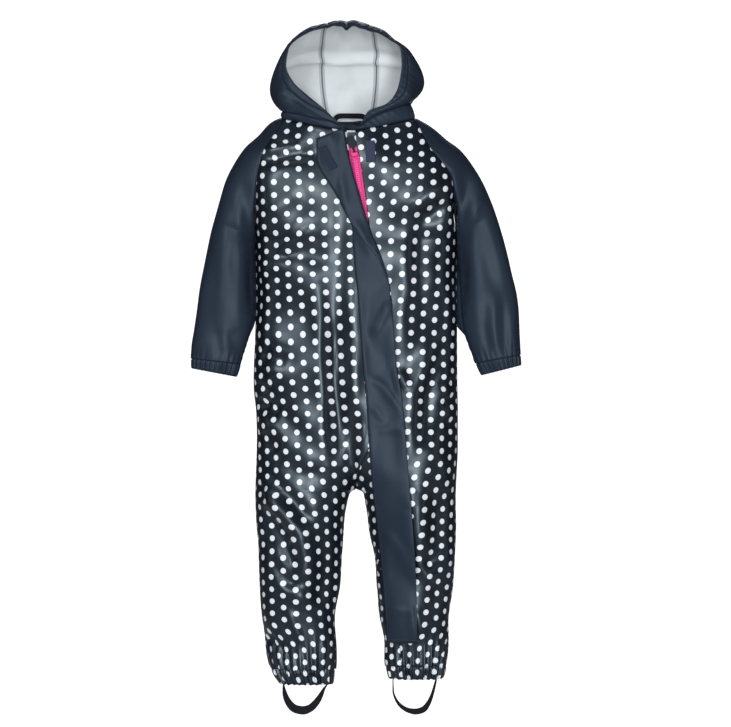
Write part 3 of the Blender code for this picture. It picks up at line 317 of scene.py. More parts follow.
# The largest creases, which the solids have too: face, width, height, then the line's points
# (x, z). A height above 0 is a ridge, one below 0 a trough.
CREASES = [
    (FRONT, 11, -3.0, (-120, -163), (-35, -172)),
    (FRONT, 13, 2.2, (-118, -185), (-40, -128)),
    (FRONT, 11, -3.2, (-18, -90), (-24, -330)),
    (FRONT, 12, -3.6, (-24, -330), (-12, -440)),
    (FRONT, 15, 2.4, (-48, -200), (-46, -400)),
    (FRONT, 14, -2.6, (-125, -350), (-20, -446)),
    (FRONT, 14, 3.0, (-122, -462), (-62, -560)),
    (FRONT, 14, 2.4, (-62, -560), (-78, -640)),
    (FRONT, 12, -2.4, (-96, -580), (-34, -610)),
    (FRONT, 14, 2.6, (62, -220), (56, -350)),
    (FRONT, 12, -2.4, (112, -80), (92, -170)),
    (FRONT, 14, 2.6, (96, -408), (74, -470)),
    (FRONT, 14, 2.6, (74, -470), (84, -560)),
    (FRONT, 10, -2.2, (66, -352), (74, -390)),
    (BACK, 18, 2.4, (-80, -120), (-60, -300)),
    (BACK, 18, 2.4, (70, -140), (50, -330)),
    (BACK, 18, -3.0, (-100, -410), (95, -425)),
    (BACK, 14, 2.4, (-90, -540), (-45, -610)),
    (BACK, 14, 2.4, (50, -530), (95, -600)),
]

# Where a column of the printed dots runs down each panel: its number and the count of its dots.
PRINT_LEFT = Table(
    "z x column count",
    (5, -77.5, 0, -26.7),
    (-3, -76.8, 0, -26),
    (-42, -74.1, 0, -23),
    (-91, -72.9, 0, -20),
    (-155, -72.1, 0, -16),
    (-216, -70.4, 0, -12),
    (-251, -68.9, 0, -10),
    (-289, -67.7, 0, -8),
    (-340, -65, 0, -5),
    (-388, -60.7, 0, -2),
    (-437, -58.5, 0, 1),
    (-485, -54.5, 0, 4),
    (-533.5, -48.3, 0, 7),
    (-583, -46.5, 0, 10),
    (-630, -45.6, 0, 13),
    (-678, -42.8, 0, 16),
    (-725, -44.8, 0, 19),
)
PRINT_RIGHT = Table(
    "z x column count",
    (5, 86.5, -2, -10.7),
    (-22, 85.3, -2, -9),
    (-67, 84, -2, -6),
    (-116.5, 78.6, -2, -3),
    (-167, 76, -2, 0),
    (-218, 73.3, -2, 3),
    (-268, 70.5, -2, 6),
    (-317, 68.7, -2, 9),
    (-364, 67.1, -2, 12),
    (-412, 65.6, -2, 15),
    (-479, 88.1, 0, 19),
    (-527.5, 83.7, 0, 22),
    (-574, 79.2, 0, 25),
    (-605, 77, 0, 27),
    (-660, 70.9, 0, 30.5),
    (-704, 67, 0, 33.3),
    (-725, 65, 0, 34.8),
)
PRINT_INNER = Table(
    "z x column count",
    (-400, 17.5, 0, -5.4),
    (-417, 18.7, 0, -4),
    (-479, 22.1, 0, 0),
    (-526, 23.8, 0, 3),
    (-570, 22.9, 0, 5.85),
    (-595, 30.6, 1, 7.5),
    (-640, 33.6, 1, 10.5),
    (-727, 36, 1, 16),
)


def back_print(front):
    """A back's column, behind the front's, with its dots counted evenly down."""
    return Table("z x column count", *[(z, x, 0, -z / DOT_PITCH) for z, x in front.rows[:, :2]])


def point(x, y, z):
    """A point or a way in space."""
    return np.array([x, y, z], dtype=float)


def unit(vectors):
    """The same ways, each of length 1."""
    length = np.linalg.norm(vectors, axis=-1, keepdims=True)
    return vectors / np.maximum(length, 1e-9)


def soft(values):
    """Smooth step from 0 to 1."""
    values = np.clip(values, 0.0, 1.0)
    return values * values * (3 - 2 * values)


def smoothed(values, rounds, axis=0):
    """Values with their bumps evened out along one axis, the ends kept."""
    values = np.moveaxis(values.copy(), axis, 0)
    for _ in range(rounds):
        values[1:-1] = (values[:-2] + 2 * values[1:-1] + values[2:]) / 4
    return np.moveaxis(values, 0, axis)


def lengths_along(line):
    """Length from the start of a line to each of its points."""
    return np.concatenate([[0], np.cumsum(np.linalg.norm(np.diff(line, axis=0), axis=1))])


def points_along(line, marks):
    """Points of a line at these lengths from its start."""
    lengths = lengths_along(line)
    return np.stack([np.interp(marks, lengths, line[:, k]) for k in range(3)], axis=1)


def even_ring(line, count):
    """Evenly spaced points round a closed line."""
    loop = np.concatenate([line, line[:1]])
    return points_along(loop, np.linspace(0, lengths_along(loop)[-1], count + 1)[:-1])


def curve(controls, t):
    """Points on the cubic curve with these four controls, at the shares t."""
    a, b, c, d = controls
    t = np.asarray(t, dtype=float)[..., None]
    s = 1 - t
    return s**3 * a + 3 * s * s * t * b + 3 * s * t * t * c + t**3 * d


def steps(count, edge=(0.006, 0.015)):
    """Even shares from 0 to 1, with two more close to each end, where the seams are."""
    even = np.linspace(0, 1, count + 1)[1:-1]
    far = [1 - e for e in edge[::-1]]
    return np.concatenate([[0], edge, even, far, [1]])


def yoke_half(ring, side, face):
    """Curve from the middle of a yoke row to the raglan seam."""
    row = YOKE_CENTRE.at(ring)
    word = WORD[face]
    middle = point(row["x"], row[word + "_y"], row[word + "_z"])
    end = RAGLAN.spot(ring, f"{SIDE_WORD[side]}_{word}")
    turn = math.radians(row["turn"])
    drop = end[2] - middle[2]
    first = middle + point(side * row["reach"], 0, 0.25 * drop)
    back_off = point(side * math.cos(turn), -face * math.sin(turn), 0)
    second = end - row["round"] * back_off
    second[2] = middle[2] + 0.72 * drop
    return middle, first, second, end


def level_half(z, side, face):
    """Curve of a level row from the centre line, or the inner leg seam, to the side seam."""
    edges = OUTLINE.at(z)
    depth = DEPTH.at(z)
    word = WORD[face]
    lean = math.radians(depth[word + "_lean"])
    middle = point(edges[SIDE_WORD[side] + "_inner"], face * depth[word], z)
    end = point(edges[SIDE_WORD[side] + "_side"], 0, z)
    away = point(side * math.cos(lean), face * math.sin(lean), 0)
    first = middle + depth[word + "_reach"] * away
    second = end + point(0, face * depth[word + "_round"], 0)
    return middle, first, second, end


class BodyRow:
    """One row round the body: share -1 is the left side, 0 the middle, 1 the right side."""

    def __init__(self, kind, key):
        self.kind = kind
        self.key = key
        half = yoke_half if kind == "yoke" else level_half
        self.halves = {(s, f): half(key, s, f) for s in (LEFT, RIGHT) for f in (FRONT, BACK)}
        self.height = YOKE_CENTRE.at(key)["front_z"] if kind == "yoke" else key

    def points(self, shares, face):
        """Points of the row at these shares, on the front or the back."""
        shares = np.asarray(shares, dtype=float)
        left = curve(self.halves[LEFT, face], np.abs(shares))
        right = curve(self.halves[RIGHT, face], np.abs(shares))
        return np.where((shares < 0)[..., None], left, right)

    def share_at(self, wanted_x, low=-0.9, high=0.98):
        """The share along the front where the row crosses a given x."""
        trial = np.linspace(low, high, 600)
        return float(np.interp(wanted_x, self.points(trial, FRONT)[:, 0], trial))

    def zip_share(self, side):
        """The share of the zip's left or right edge."""
        low = -0.9 if self.height > FRONT_SEAM_START else 0.0
        closing = min(max((self.height - ZIP_END + 8) / 16, 0.0), 1.0)
        if side == RIGHT:
            closing -= 0.3 * min(max((self.height + 44) / 14, 0.0), 1.0)
        x = ZIP.at(self.height)["x"] + side * closing * ZIP_HALF_GAP
        return self.share_at(x, low)

    def left_end(self):
        """The share where the left front ends: at the zip, the short seam or the crotch."""
        if self.height > FRONT_SEAM_START:
            return self.zip_share(LEFT)
        along = (self.height - CROTCH) / (FRONT_SEAM_START - CROTCH)
        if along <= 0:
            return -1e-9
        return SEAM_START_SHARE * along


def body_heights(bottom):
    """Heights of the level rows: fine all over, and finest where the legs part."""
    runs = ((-150, -440, -3.0), (-440, -492, -1.3), (-493, bottom, -3.0))
    heights = np.concatenate([np.arange(*run) for run in runs])
    kept = [FRONT_SEAM_START, CROTCH, bottom]
    heights = [h for h in heights if min(abs(h - k) for k in kept) > CLOSEST_ROWS] + kept
    return sorted((h for h in heights if h >= bottom), reverse=True)


SEAM_START_SHARE = BodyRow("level", FRONT_SEAM_START).zip_share(LEFT)
YOKE_RINGS = np.linspace(0, UNDERARM_RING, 50)
YOKE_ROWS = [BodyRow("yoke", ring) for ring in YOKE_RINGS]


class Cloth:
    """A piece of cloth as a grid of points on its outer face, with its place in the cut."""

    def __init__(self, name, grid, flipped=False, closed=False):
        self.name = name
        self.grid = np.array(grid, dtype=float)
        self.flipped = flipped
        self.closed = closed
        self.outer = self.grid
        self.inner = None
        self.cut = None
        self.extra = 0.0

    def round(self, grid):
        """The grid, with its first column again at the end where the piece is a tube."""
        return np.concatenate([grid, grid[:, :1]], axis=1) if self.closed else grid

    def own_normals(self):
        """Area-weighted normals of the grid's points."""
        g = self.round(self.grid)
        face = np.cross(g[1:, 1:] - g[:-1, :-1], g[:-1, 1:] - g[1:, :-1])
        if self.flipped:
            face = -face
        total = np.zeros_like(g)
        total[:-1, :-1] += face
        total[:-1, 1:] += face
        total[1:, 1:] += face
        total[1:, :-1] += face
        if self.closed:
            total[:, 0] += total[:, -1]
            total = total[:, :-1]
        return total

    def lay_out(self):
        """Cut places by plain lengths: across along each row, down along the middle column."""
        across = np.array([lengths_along(row) for row in self.grid])
        down = np.array([lengths_along(column) for column in self.grid.transpose(1, 0, 2)]).T
        middle = across.shape[1] // 2
        self.cut = np.stack([across - across[:, middle : middle + 1], down], axis=2)

    def lay_on_print(self, track):
        """Cut places that follow a column of the print; track says where that column runs."""
        normals = unit(self.own_normals())
        up = unit(point(0, 0, 1) - normals[..., 2:3] * normals)
        side = np.cross(up, normals)
        ways = np.diff(self.grid, axis=1)
        start = np.zeros((len(self.grid), 1))
        steps_across = np.sum(ways * (side[:, 1:] + side[:, :-1]) / 2, axis=2)
        steps_down = -np.sum(ways * (up[:, 1:] + up[:, :-1]) / 2, axis=2)
        across = np.concatenate([start, np.cumsum(steps_across, axis=1)], axis=1)
        down = np.concatenate([start, np.cumsum(steps_down, axis=1)], axis=1)
        turned = -1 if self.grid[0, 0, 1] + self.grid[-1, -1, 1] > 0 else 1
        for i, row in enumerate(self.grid):
            away = row[:, 0] - np.array([track.at(z)["x"] for z in row[:, 2]])
            order = np.argsort(away)
            place = float(np.interp(0.0, away[order], order.astype(float)))
            low = min(int(place), len(row) - 2)
            share = place - low
            height = row[low, 2] * (1 - share) + row[low + 1, 2] * share
            mark = track.at(height)
            outside = turned * (max(away.min(), 0.0) + min(away.max(), 0.0))
            pinned = mark["column"] * COLUMN_PITCH + outside
            across[i] += pinned - (across[i, low] * (1 - share) + across[i, low + 1] * share)
            gathered = 1 + ANKLE_FULLNESS * soft((ANKLE_GATHER_START - height) / 60)
            across[i] = pinned + (across[i] - pinned) * gathered
            pinned = mark["count"] * DOT_PITCH
            down[i] += pinned - (down[i, low] * (1 - share) + down[i, low + 1] * share)
        self.cut = np.stack([across, down], axis=2)
        if self.grid[0, 0, 2] < UNDERARM_HEIGHT:
            return
        for i in range(NECK_ROWS - 1, -1, -1):
            way = self.grid[i] - self.grid[i + 1]
            self.cut[i, :, 0] = self.cut[i + 1, :, 0] + np.sum(way * side[i], axis=1)
            self.cut[i, :, 1] = self.cut[i + 1, :, 1] - np.sum(way * up[i], axis=1)


def share_edges(cloths):
    """Unit normals of every cloth, averaged where the edges of cloths meet."""
    meeting = {}
    result = {}
    for cloth in cloths:
        normals = unit(cloth.own_normals())
        result[cloth.name] = normals
        edge = np.zeros(normals.shape[:2], dtype=bool)
        edge[0] = edge[-1] = True
        if not cloth.closed:
            edge[:, 0] = edge[:, -1] = True
        for i, j in zip(*np.nonzero(edge)):
            key = tuple(np.round(cloth.grid[i, j], 1))
            meeting.setdefault(key, []).append((cloth.name, i, j))
    for places in meeting.values():
        total = sum(result[name][i, j] for name, i, j in places)
        if np.linalg.norm(total) > 0.6 * len(places) ** 0.5:
            for name, i, j in places:
                result[name][i, j] = unit(total)
    return result


# Folds of the cloth: face, width, height, then the line's points. A fold on the front or back runs
# through points (x, z); one on a side runs through (y, z). A height above 0 is a ridge.
FOLDS = [
    # Left of the body, from the armhole down to the hip.
    (FRONT, 6.5, -3.6, (-121, -46), (-84, -38), (-51, -35)),
    (FRONT, 5, 1.8, (-121, -35), (-72, -27)),
    (FRONT, 9, 1.6, (-117, -115), (-69, -84)),
    (FRONT, 7, 2.2, (-105, -167), (-54, -128)),
    (FRONT, 6, -2.0, (-108, -178), (-60, -147)),
    (FRONT, 7, 1.6, (-125, -189), (-91, -171)),
    (FRONT, 9, -4.2, (-36, -205), (-30, -270), (-27, -335), (-22, -390), (-24, -440)),
    (FRONT, 5, 1.6, (-48, -210), (-43, -290), (-41, -360), (-39, -420)),
    (FRONT, 8, 3.0, (-98, -285), (-112, -330)),
    (FRONT, 7, -3.0, (-124, -292), (-88, -304)),
    (FRONT, 4, -1.8, (-131, -314), (-112, -322)),
    (FRONT, 4, -1.8, (-131, -334), (-108, -344)),
    (FRONT, 4, -1.6, (-130, -356), (-114, -361)),
    (FRONT, 7, -3.0, (-126, -360), (-98, -371)),
    (FRONT, 7, -2.6, (-120, -393), (-104, -423)),
    (FRONT, 10, -3.0, (-98, -440), (-66, -452), (-34, -448)),
    (FRONT, 6, 2.0, (-5, -215), (-2, -300), (-4, -380), (-6, -420)),
    (FRONT, 4, -2.6, (-1, -355), (-3, -400), (-6, -447)),
    # Left leg.
    (FRONT, 7, -3.4, (-117, -449), (-84, -484), (-56, -518)),
    (FRONT, 9, 3.0, (-124, -470), (-93, -498), (-70, -525), (-66, -565), (-70, -598)),
    (FRONT, 6, -3.2, (-121, -493), (-93, -530), (-81, -565), (-81, -583)),
    (FRONT, 8, 1.7, (-117, -547), (-98, -583), (-89, -603), (-64, -608), (-52, -590)),
    (FRONT, 5, -2.2, (-108, -560), (-90, -588), (-74, -592)),
    (FRONT, 4, 2.0, (-90, -621), (-70, -670)),
    (FRONT, 5, -2.6, (-118, -660), (-86, -685)),
    (FRONT, 5, -2.4, (-126, -462), (-118, -486)),
    (FRONT, 12, -3.0, (-40, -490), (-34, -560), (-40, -640)),
    # Right of the body.
    (FRONT, 8, 2.8, (127, -78), (89, -95), (63, -113)),
    (FRONT, 7, -3.2, (123, -104), (95, -118), (75, -126)),
    (FRONT, 11, 2.4, (67, -136), (62, -213), (57, -265)),
    (FRONT, 7, -3.0, (84, -128), (80, -213)),
    (FRONT, 4, 2.2, (56, -317), (64, -340)),
    (FRONT, 8, 2.6, (97, -278), (72, -353), (67, -440)),
    (FRONT, 7, -2.4, (112, -290), (92, -352), (86, -420)),
    (FRONT, 4, -1.8, (131, -330), (108, -338)),
    (FRONT, 4, -1.8, (131, -352), (112, -360)),
    (FRONT, 4, -1.6, (130, -382), (116, -390)),
    # Right leg.
    (FRONT, 8, 2.4, (84, -462), (80, -520), (88, -577)),
    (FRONT, 6, 2.6, (78, -556), (95, -582), (106, -564)),
    (FRONT, 5, -2.2, (88, -560), (98, -570)),
    (FRONT, 4, 1.8, (78, -624), (86, -660)),
    (FRONT, 6, 2.4, (13, -384), (1, -457)),
    (FRONT, 8, -2.4, (110, -470), (104, -560), (108, -640)),
    # Hidden side and back, in the same manner.
    (BACK, 9, 2.6, (-112, -120), (-60, -150), (-20, -148)),
    (BACK, 8, -2.6, (-118, -140), (-66, -176)),
    (BACK, 11, 2.8, (-62, -190), (-52, -280), (-58, -360)),
    (BACK, 10, -3.4, (-30, -180), (-22, -260), (-26, -350), (-18, -430)),
    (BACK, 11, 2.6, (44, -170), (52, -260), (46, -340)),
    (BACK, 9, -3.0, (74, -200), (68, -290), (76, -370)),
    (BACK, 8, 2.4, (112, -96), (70, -124)),
    (BACK, 7, -2.8, (-118, -380), (-70, -404), (-20, -410)),
    (BACK, 8, 2.8, (-112, -402), (-60, -428), (0, -430), (64, -424), (110, -398)),
    (BACK, 7, -2.8, (118, -374), (72, -400), (22, -408)),
    (BACK, 8, -3.0, (-118, -470), (-70, -500), (-40, -540)),
    (BACK, 6, 2.8, (-108, -560), (-78, -590), (-44, -580)),
    (BACK, 6, -2.4, (-102, -590), (-70, -616)),
    (BACK, 8, 2.6, (-70, -620), (-62, -680)),
    (BACK, 7, -2.8, (112, -470), (72, -506)),
    (BACK, 6, 2.8, (108, -556), (80, -584), (52, -570)),
    (BACK, 6, -2.4, (104, -590), (72, -612)),
    # Sleeves.
    (FRONT, 7, -3.0, (-146, -78), (-140, -120), (-135, -160), (-133, -205), (-133, -250)),
    (FRONT, 8, 1.4, (-158, -80), (-151, -125), (-148, -170), (-148, -215), (-153, -262)),
    (FRONT, 5, -1.0, (-160, -96), (-156, -150), (-158, -205)),
    (FRONT, 8, 1.0, (-172, -110), (-170, -190), (-176, -262)),
    (FRONT, 6, -1.2, (-160, -262), (-152, -300)),
    (FRONT, 4, -1.0, (-180, -262), (-176, -300)),
    (FRONT, 8, -1.0, (-188, -140), (-186, -210), (-192, -280)),
    (FRONT, 7, -3.2, (143, -58), (144, -88), (138, -118), (136, -160), (138, -230)),
    (FRONT, 5, 1.8, (151, -54), (158, -80), (155, -102), (144, -124)),
    (FRONT, 7, 1.2, (162, -66), (176, -116), (190, -168), (203, -212)),
    (FRONT, 7, -1.2, (156, -120), (168, -170), (182, -220)),
    (FRONT, 8, 1.2, (146, -150), (154, -210), (160, -262)),
    (FRONT, 4, -1.2, (166, -225), (166, -260), (172, -296)),
    (FRONT, 4, 0.9, (178, -215), (178, -260), (182, -298)),
    (FRONT, 4, -1.1, (190, -220), (191, -262), (193, -298)),
    (FRONT, 4, 0.9, (201, -235), (203, -262), (203, -296)),
    (BACK, 8, 1.2, (-150, -70), (-174, -150), (-180, -220)),
    (BACK, 6, -1.3, (-150, -150), (-158, -230), (-170, -290)),
    (BACK, 8, 1.2, (150, -70), (174, -150), (180, -220)),
    (BACK, 6, -1.3, (150, -150), (158, -230), (170, -290)),
    # Hood, in front and behind.
    (FRONT, 6, 1.2, (-98, 47), (-88, 22)),
    (FRONT, 6, -1.0, (-86, 40), (-72, 18)),
    (FRONT, 6, 0.9, (66, 66), (72, 30)),
    (FRONT, 6, -0.8, (80, 62), (84, 28)),
    (BACK, 12, 2.4, (-70, 90), (-60, 40)),
    (BACK, 12, -2.6, (-20, 110), (-14, 50)),
    (BACK, 12, 2.4, (44, 100), (40, 44)),
    (BACK, 2.2, -3.6, (-96, 78), (-76, 86), (-45, 90), (20, 89), (60, 80)),
    (BACK, 5, 2.6, (-92, 88), (-45, 98), (20, 97), (56, 90)),
    (BACK, 4, 1.6, (-40, 112), (-24, 124), (-14, 112), (2, 124), (16, 110)),
]

# Folds of the storm flap, in the same form; they only push the flap outward.
FLAP_FOLDS = [
    (FRONT, 6, 2.6, (45, -227), (21, -273)),
    (FRONT, 4, 1.6, (16, -325), (34, -336), (56, -366)),
    (FRONT, 4, 1.4, (21, -360), (37, -384)),
    (FRONT, 4, 1.6, (26, -394), (62, -391)),
    (FRONT, 6, 2.2, (35, -522), (57, -547), (67, -573)),
    (FRONT, 4, 1.6, (40, -538), (41, -595)),
    (FRONT, 3, 1.2, (41, -627), (76, -627)),
    (FRONT, 6, 2.0, (-2, -124), (20, -165)),
    (FRONT, 5, 1.6, (-20, -66), (-14, -110)),
]

FOLD_DEPTH = 2.0
FOLD_SPREAD = 1.6

# The slack of thin cloth between its folds: length of each wave in x, y and z, and its height.
SLACK = [
    ((150, 110, 105), 1.1),
    ((-95, 120, 128), 0.9),
    ((80, -96, 190), 0.6),
    ((-62, 88, -92), 0.3),
    ((210, 90, -64), 0.5),
]

# Seams where two pieces of cloth are sewn: the cloth dips to the seam and puckers beside it.
SEAM_DIP = 0.8
SEAM_DIP_WIDTH = 1.4
PUCKER = 0.35
PUCKER_PITCH = 9.0
PUCKER_REACH = 7.0

# The armpits, where the cloth lies still.
ARMPIT_X = 130
ARMPIT_REACH = 36


def hem_print(hem, cloths, side):
    """Cut places of a dotted hem: the columns of the panels above it, running on down."""
    word = SIDE_WORD[side]
    fronts = [cloths["front_right_inner"]] if side == RIGHT else []
    fronts.append(cloths["front_" + word])
    cut = np.zeros((*hem.grid.shape[:2], 2))
    for panels, face in ((fronts, FRONT), ([cloths["back_" + word]], BACK)):
        edge = np.concatenate([panel.grid[-1] for panel in panels])
        marks = np.concatenate([panel.cut[-1] for panel in panels])
        order = np.argsort(edge[:, 0])
        here = np.sign(hem.grid[..., 1] + face * 1e-9) == face
        x = hem.grid[0, :, 0][None, :].repeat(len(hem.grid), axis=0)
        for k in range(2):
            column = np.interp(x, edge[order, 0], marks[order, k])
            cut[..., k] = np.where(here, column, cut[..., k])
    cut[..., 1] += hem.grid[0, :, 2].mean() - hem.grid[..., 2]
    return cut


def fold_height(places, normals, folds, spread=1.0):
    """How far the folds push the cloth out, at each place."""
    total = np.zeros(places.shape[:-1])
    flat = places[..., [0, 2]]
    for face, width, height, *line in folds:
        facing = np.clip(normals[..., 1] * face * 2.2, 0.0, 1.0)
        line = np.array(line, dtype=float)
        lengths = np.linalg.norm(np.diff(line, axis=0), axis=1)
        whole = lengths.sum()
        nearest = np.full(total.shape, 1e9)
        along = np.zeros(total.shape)
        start = 0.0
        for (p, q), length in zip(zip(line[:-1], line[1:]), lengths):
            way = (q - p) / length
            offset = flat - p
            t = np.clip(offset @ way, 0.0, length)
            distance = np.linalg.norm(offset - t[..., None] * way, axis=-1)
            closer = distance < nearest
            nearest = np.where(closer, distance, nearest)
            along = np.where(closer, start + t, along)
            start += length
        share = along / whole
        fade = np.clip(4.0 * share * (1 - share) + 0.25, 0.0, 1.0)
        total += height * fade * facing * np.exp(-((nearest / (spread * width)) ** 2))
    return total


def slack_height(places):
    """Small soft unevenness, the same on both sides of a seam."""
    total = np.zeros(places.shape[:-1])
    for k, (lengths, height) in enumerate(SLACK):
        turn = places @ (2 * math.pi / np.array(lengths, dtype=float)) + 1.7 * k
        bend = 0.8 * np.sin(places @ np.array([0.021, 0.017, -0.013]) + k)
        total += height * np.sin(turn + bend)
    return total


def body_share(places):
    """1 on the body, falling to a third out on the sleeves and up on the hood."""
    out = np.abs(places[..., 0]) - 118
    up = places[..., 2] - 4
    return 1 - 0.7 * soft(np.maximum(out / 26, up / 20))


def side_press(places):
    """1 where the body's side and the sleeve lie against each other, 0 away from there."""
    beside = np.exp(-(((np.abs(places[..., 0]) - 132) / 9) ** 2))
    return beside * soft((-120 - places[..., 2]) / 24)


def armpit_share(places):
    """1 at the armpits, where the seams meet, falling to 0 a hand's width away."""
    x, y, z = np.moveaxis(places, -1, 0)
    away = (np.abs(x) - ARMPIT_X) ** 2 + y**2 + (z - UNDERARM_HEIGHT) ** 2
    return np.exp(-(away / ARMPIT_REACH**2))


def seam_height(cloth, edges):
    """Dip and puckers along the sewn edges of a cloth."""
    grid = cloth.grid
    total = np.zeros(grid.shape[:2])
    wave = np.sin(2 * math.pi * (grid @ point(0.6, 0.4, 1.0)) / PUCKER_PITCH)
    lines = {"left": grid[:, :1], "right": grid[:, -1:], "top": grid[:1], "bottom": grid[-1:]}
    for edge in edges:
        distance = np.linalg.norm(grid - lines[edge], axis=-1)
        total -= SEAM_DIP * np.exp(-((distance / SEAM_DIP_WIDTH) ** 2))
        near = np.exp(-((distance / PUCKER_REACH) ** 2)) * (1 - np.exp(-((distance / 2.5) ** 2)))
        total += PUCKER * wave * near
    return total


def gather_height(fractions, waves, strength):
    """Uneven ripples round a leg or a sleeve, by the fraction of the way round."""
    turn = 2 * math.pi * fractions
    main = np.cos(waves * turn + 0.5 * np.sin(3 * turn + 0.7))
    slow = 0.72 + 0.28 * np.cos(5 * turn + 1.3)
    fine = 0.25 * np.cos((2 * waves + 3) * turn + 0.4)
    return strength * (main * slow + fine)


def round_fraction(row, side, face, shares):
    """Fraction of the way round a leg, from its inner seam past the front and the side."""
    marks = np.linspace(0, 1, 61)
    front = lengths_along(curve(row.halves[side, FRONT], marks))
    back = lengths_along(curve(row.halves[side, BACK], marks))
    whole = front[-1] + back[-1]
    if face == FRONT:
        return np.interp(np.abs(shares), marks, front) / whole
    return 1 - np.interp(np.abs(shares), marks, back) / whole


def body_panel(name, rows, face, side, start, end, count):
    """A panel of the body between two shares a row, with its gathers at the ankle."""
    grid = []
    gathers = []
    for row in rows:
        first = start(row)
        shares = first + (end(row) - first) * steps(count)
        grid.append(row.points(shares, face))
        near = soft((-row.height - 640) / 64) ** 1.3
        fractions = round_fraction(row, side, face, shares)
        gathers.append(gather_height(fractions, HEM_WAVES, LEG_GATHER_DEPTH * near))
    cloth = Cloth(name, grid)
    # The rows beside the crotch change depth quickly, so they are evened out down each column.
    heights = np.array([row.height for row in rows])[:, None]
    near_crotch = soft((heights + 494) / 10) * soft((-438 - heights) / 10)
    depth = cloth.grid[..., 1]
    cloth.grid[..., 1] = depth + near_crotch * (smoothed(depth, 26) - depth)
    cloth.extra = np.array(gathers)
    return cloth


HEM_WAVES = 24
CUFF_WAVES = 25
GATHER_DEPTH = {HEM_WAVES: 2.2, CUFF_WAVES: 1.1}


# How far a sleeve's back reaches in behind the body's side, near the armpit and lower down.
SLEEVE_BACK_REACH = {LEFT: (17, 17), RIGHT: (25, 42)}


def sleeve_ring(side, ring, shares):
    """A sleeve ring from its front seam over the top to its back seam."""
    row = SLEEVE.at(ring)
    word = SIDE_WORD[side]
    top = point(row[word + "_top_x"], row["top_y"], row[word + "_top_z"])
    near, far = SLEEVE_BACK_REACH[side]
    behind = near + (far - near) * soft((ring - 8.5) / 1.5)
    behind *= soft((ring - UNDERARM_RING) / 1.2) * soft((12.4 - ring) / 0.9)
    halves = []
    for face, inward in ((FRONT, 0.0), (BACK, behind)):
        if ring <= UNDERARM_RING:
            start = RAGLAN.spot(ring, f"{word}_{WORD[face]}")
        else:
            start = point(row[word + "_under_x"], row["under_y"], row[word + "_under_z"])
        swell = point(-side * inward, face * row["bulge"], 0)
        first = start + row["spread"] * (top - start) + swell
        second = top + point(0, face * row["roll"], 0)
        halves.append(curve((start, first, second, top), shares))
    return np.concatenate([halves[0], halves[1][::-1][1:]])


def sleeve_cloth(side, name):
    """A sleeve from the neck to the cuff, gathered toward the cuff."""
    below = np.arange(UNDERARM_RING + 0.1, CUFF_RING, 0.1)
    rings = np.concatenate([YOKE_RINGS, below, [CUFF_RING]])
    grid = np.array([sleeve_ring(side, ring, steps(36)) for ring in rings])
    cloth = Cloth(name, grid, flipped=(side == LEFT))
    lengths = np.array([lengths_along(row) for row in grid])
    near = soft((rings - 12.6) / 1.5)[:, None]
    cloth.extra = gather_height(lengths / lengths[:, -1:], CUFF_WAVES, 1.5 * near)
    cloth.lay_out()
    return cloth


def build_body():
    """The cloths of the body and the sleeves, before any fold."""
    cloths = {}
    left_rows = YOKE_ROWS + [BodyRow("level", z) for z in body_heights(LEG_END[LEFT])]
    right_rows = YOKE_ROWS + [BodyRow("level", z) for z in body_heights(LEG_END[RIGHT])]
    inner_rows = [r for r in right_rows if r.kind == "level" and r.key <= FRONT_SEAM_START]

    def zip_left(row):
        return row.zip_share(LEFT)

    def zip_right(row):
        return row.zip_share(RIGHT)

    def inner_seam(row):
        return max(row.left_end(), MIDDLE)

    def at(share):
        return lambda row: share

    back_left = back_print(PRINT_LEFT)
    back_right = back_print(PRINT_RIGHT)
    for name, rows, face, side, start, end, count, track in (
        ("front_left", left_rows, FRONT, LEFT, at(-1.0), BodyRow.left_end, 56, PRINT_LEFT),
        ("front_right", right_rows, FRONT, RIGHT, zip_right, at(1.0), 52, PRINT_RIGHT),
        ("front_right_inner", inner_rows, FRONT, RIGHT, inner_seam, zip_left, 16, PRINT_INNER),
        ("back_left", left_rows, BACK, LEFT, at(-MIDDLE), at(-1.0), 56, back_left),
        ("back_right", right_rows, BACK, RIGHT, at(1.0), at(MIDDLE), 56, back_right),
    ):
        cloths[name] = body_panel(name, rows, face, side, start, end, count)
        cloths[name].lay_on_print(track)
    for side, name in ((LEFT, "sleeve_left"), (RIGHT, "sleeve_right")):
        cloths[name] = sleeve_cloth(side, name)
    return cloths


def hood_cut(share, widths):
    """One cut of the hood: even steps to the hem's inner edge, then across the hem."""
    controls = [HOOD.spot(share, word) for word in ("neck", "rise", "crown", "face")]
    line = curve(controls, np.linspace(0, 1, 81))
    whole = lengths_along(line)[-1]
    hem = min(HOOD_HEM_WIDTH, 0.35 * whole)
    marks = np.concatenate([widths[0] * (whole - hem), whole - hem + widths[1] * hem])
    return points_along(line, marks)


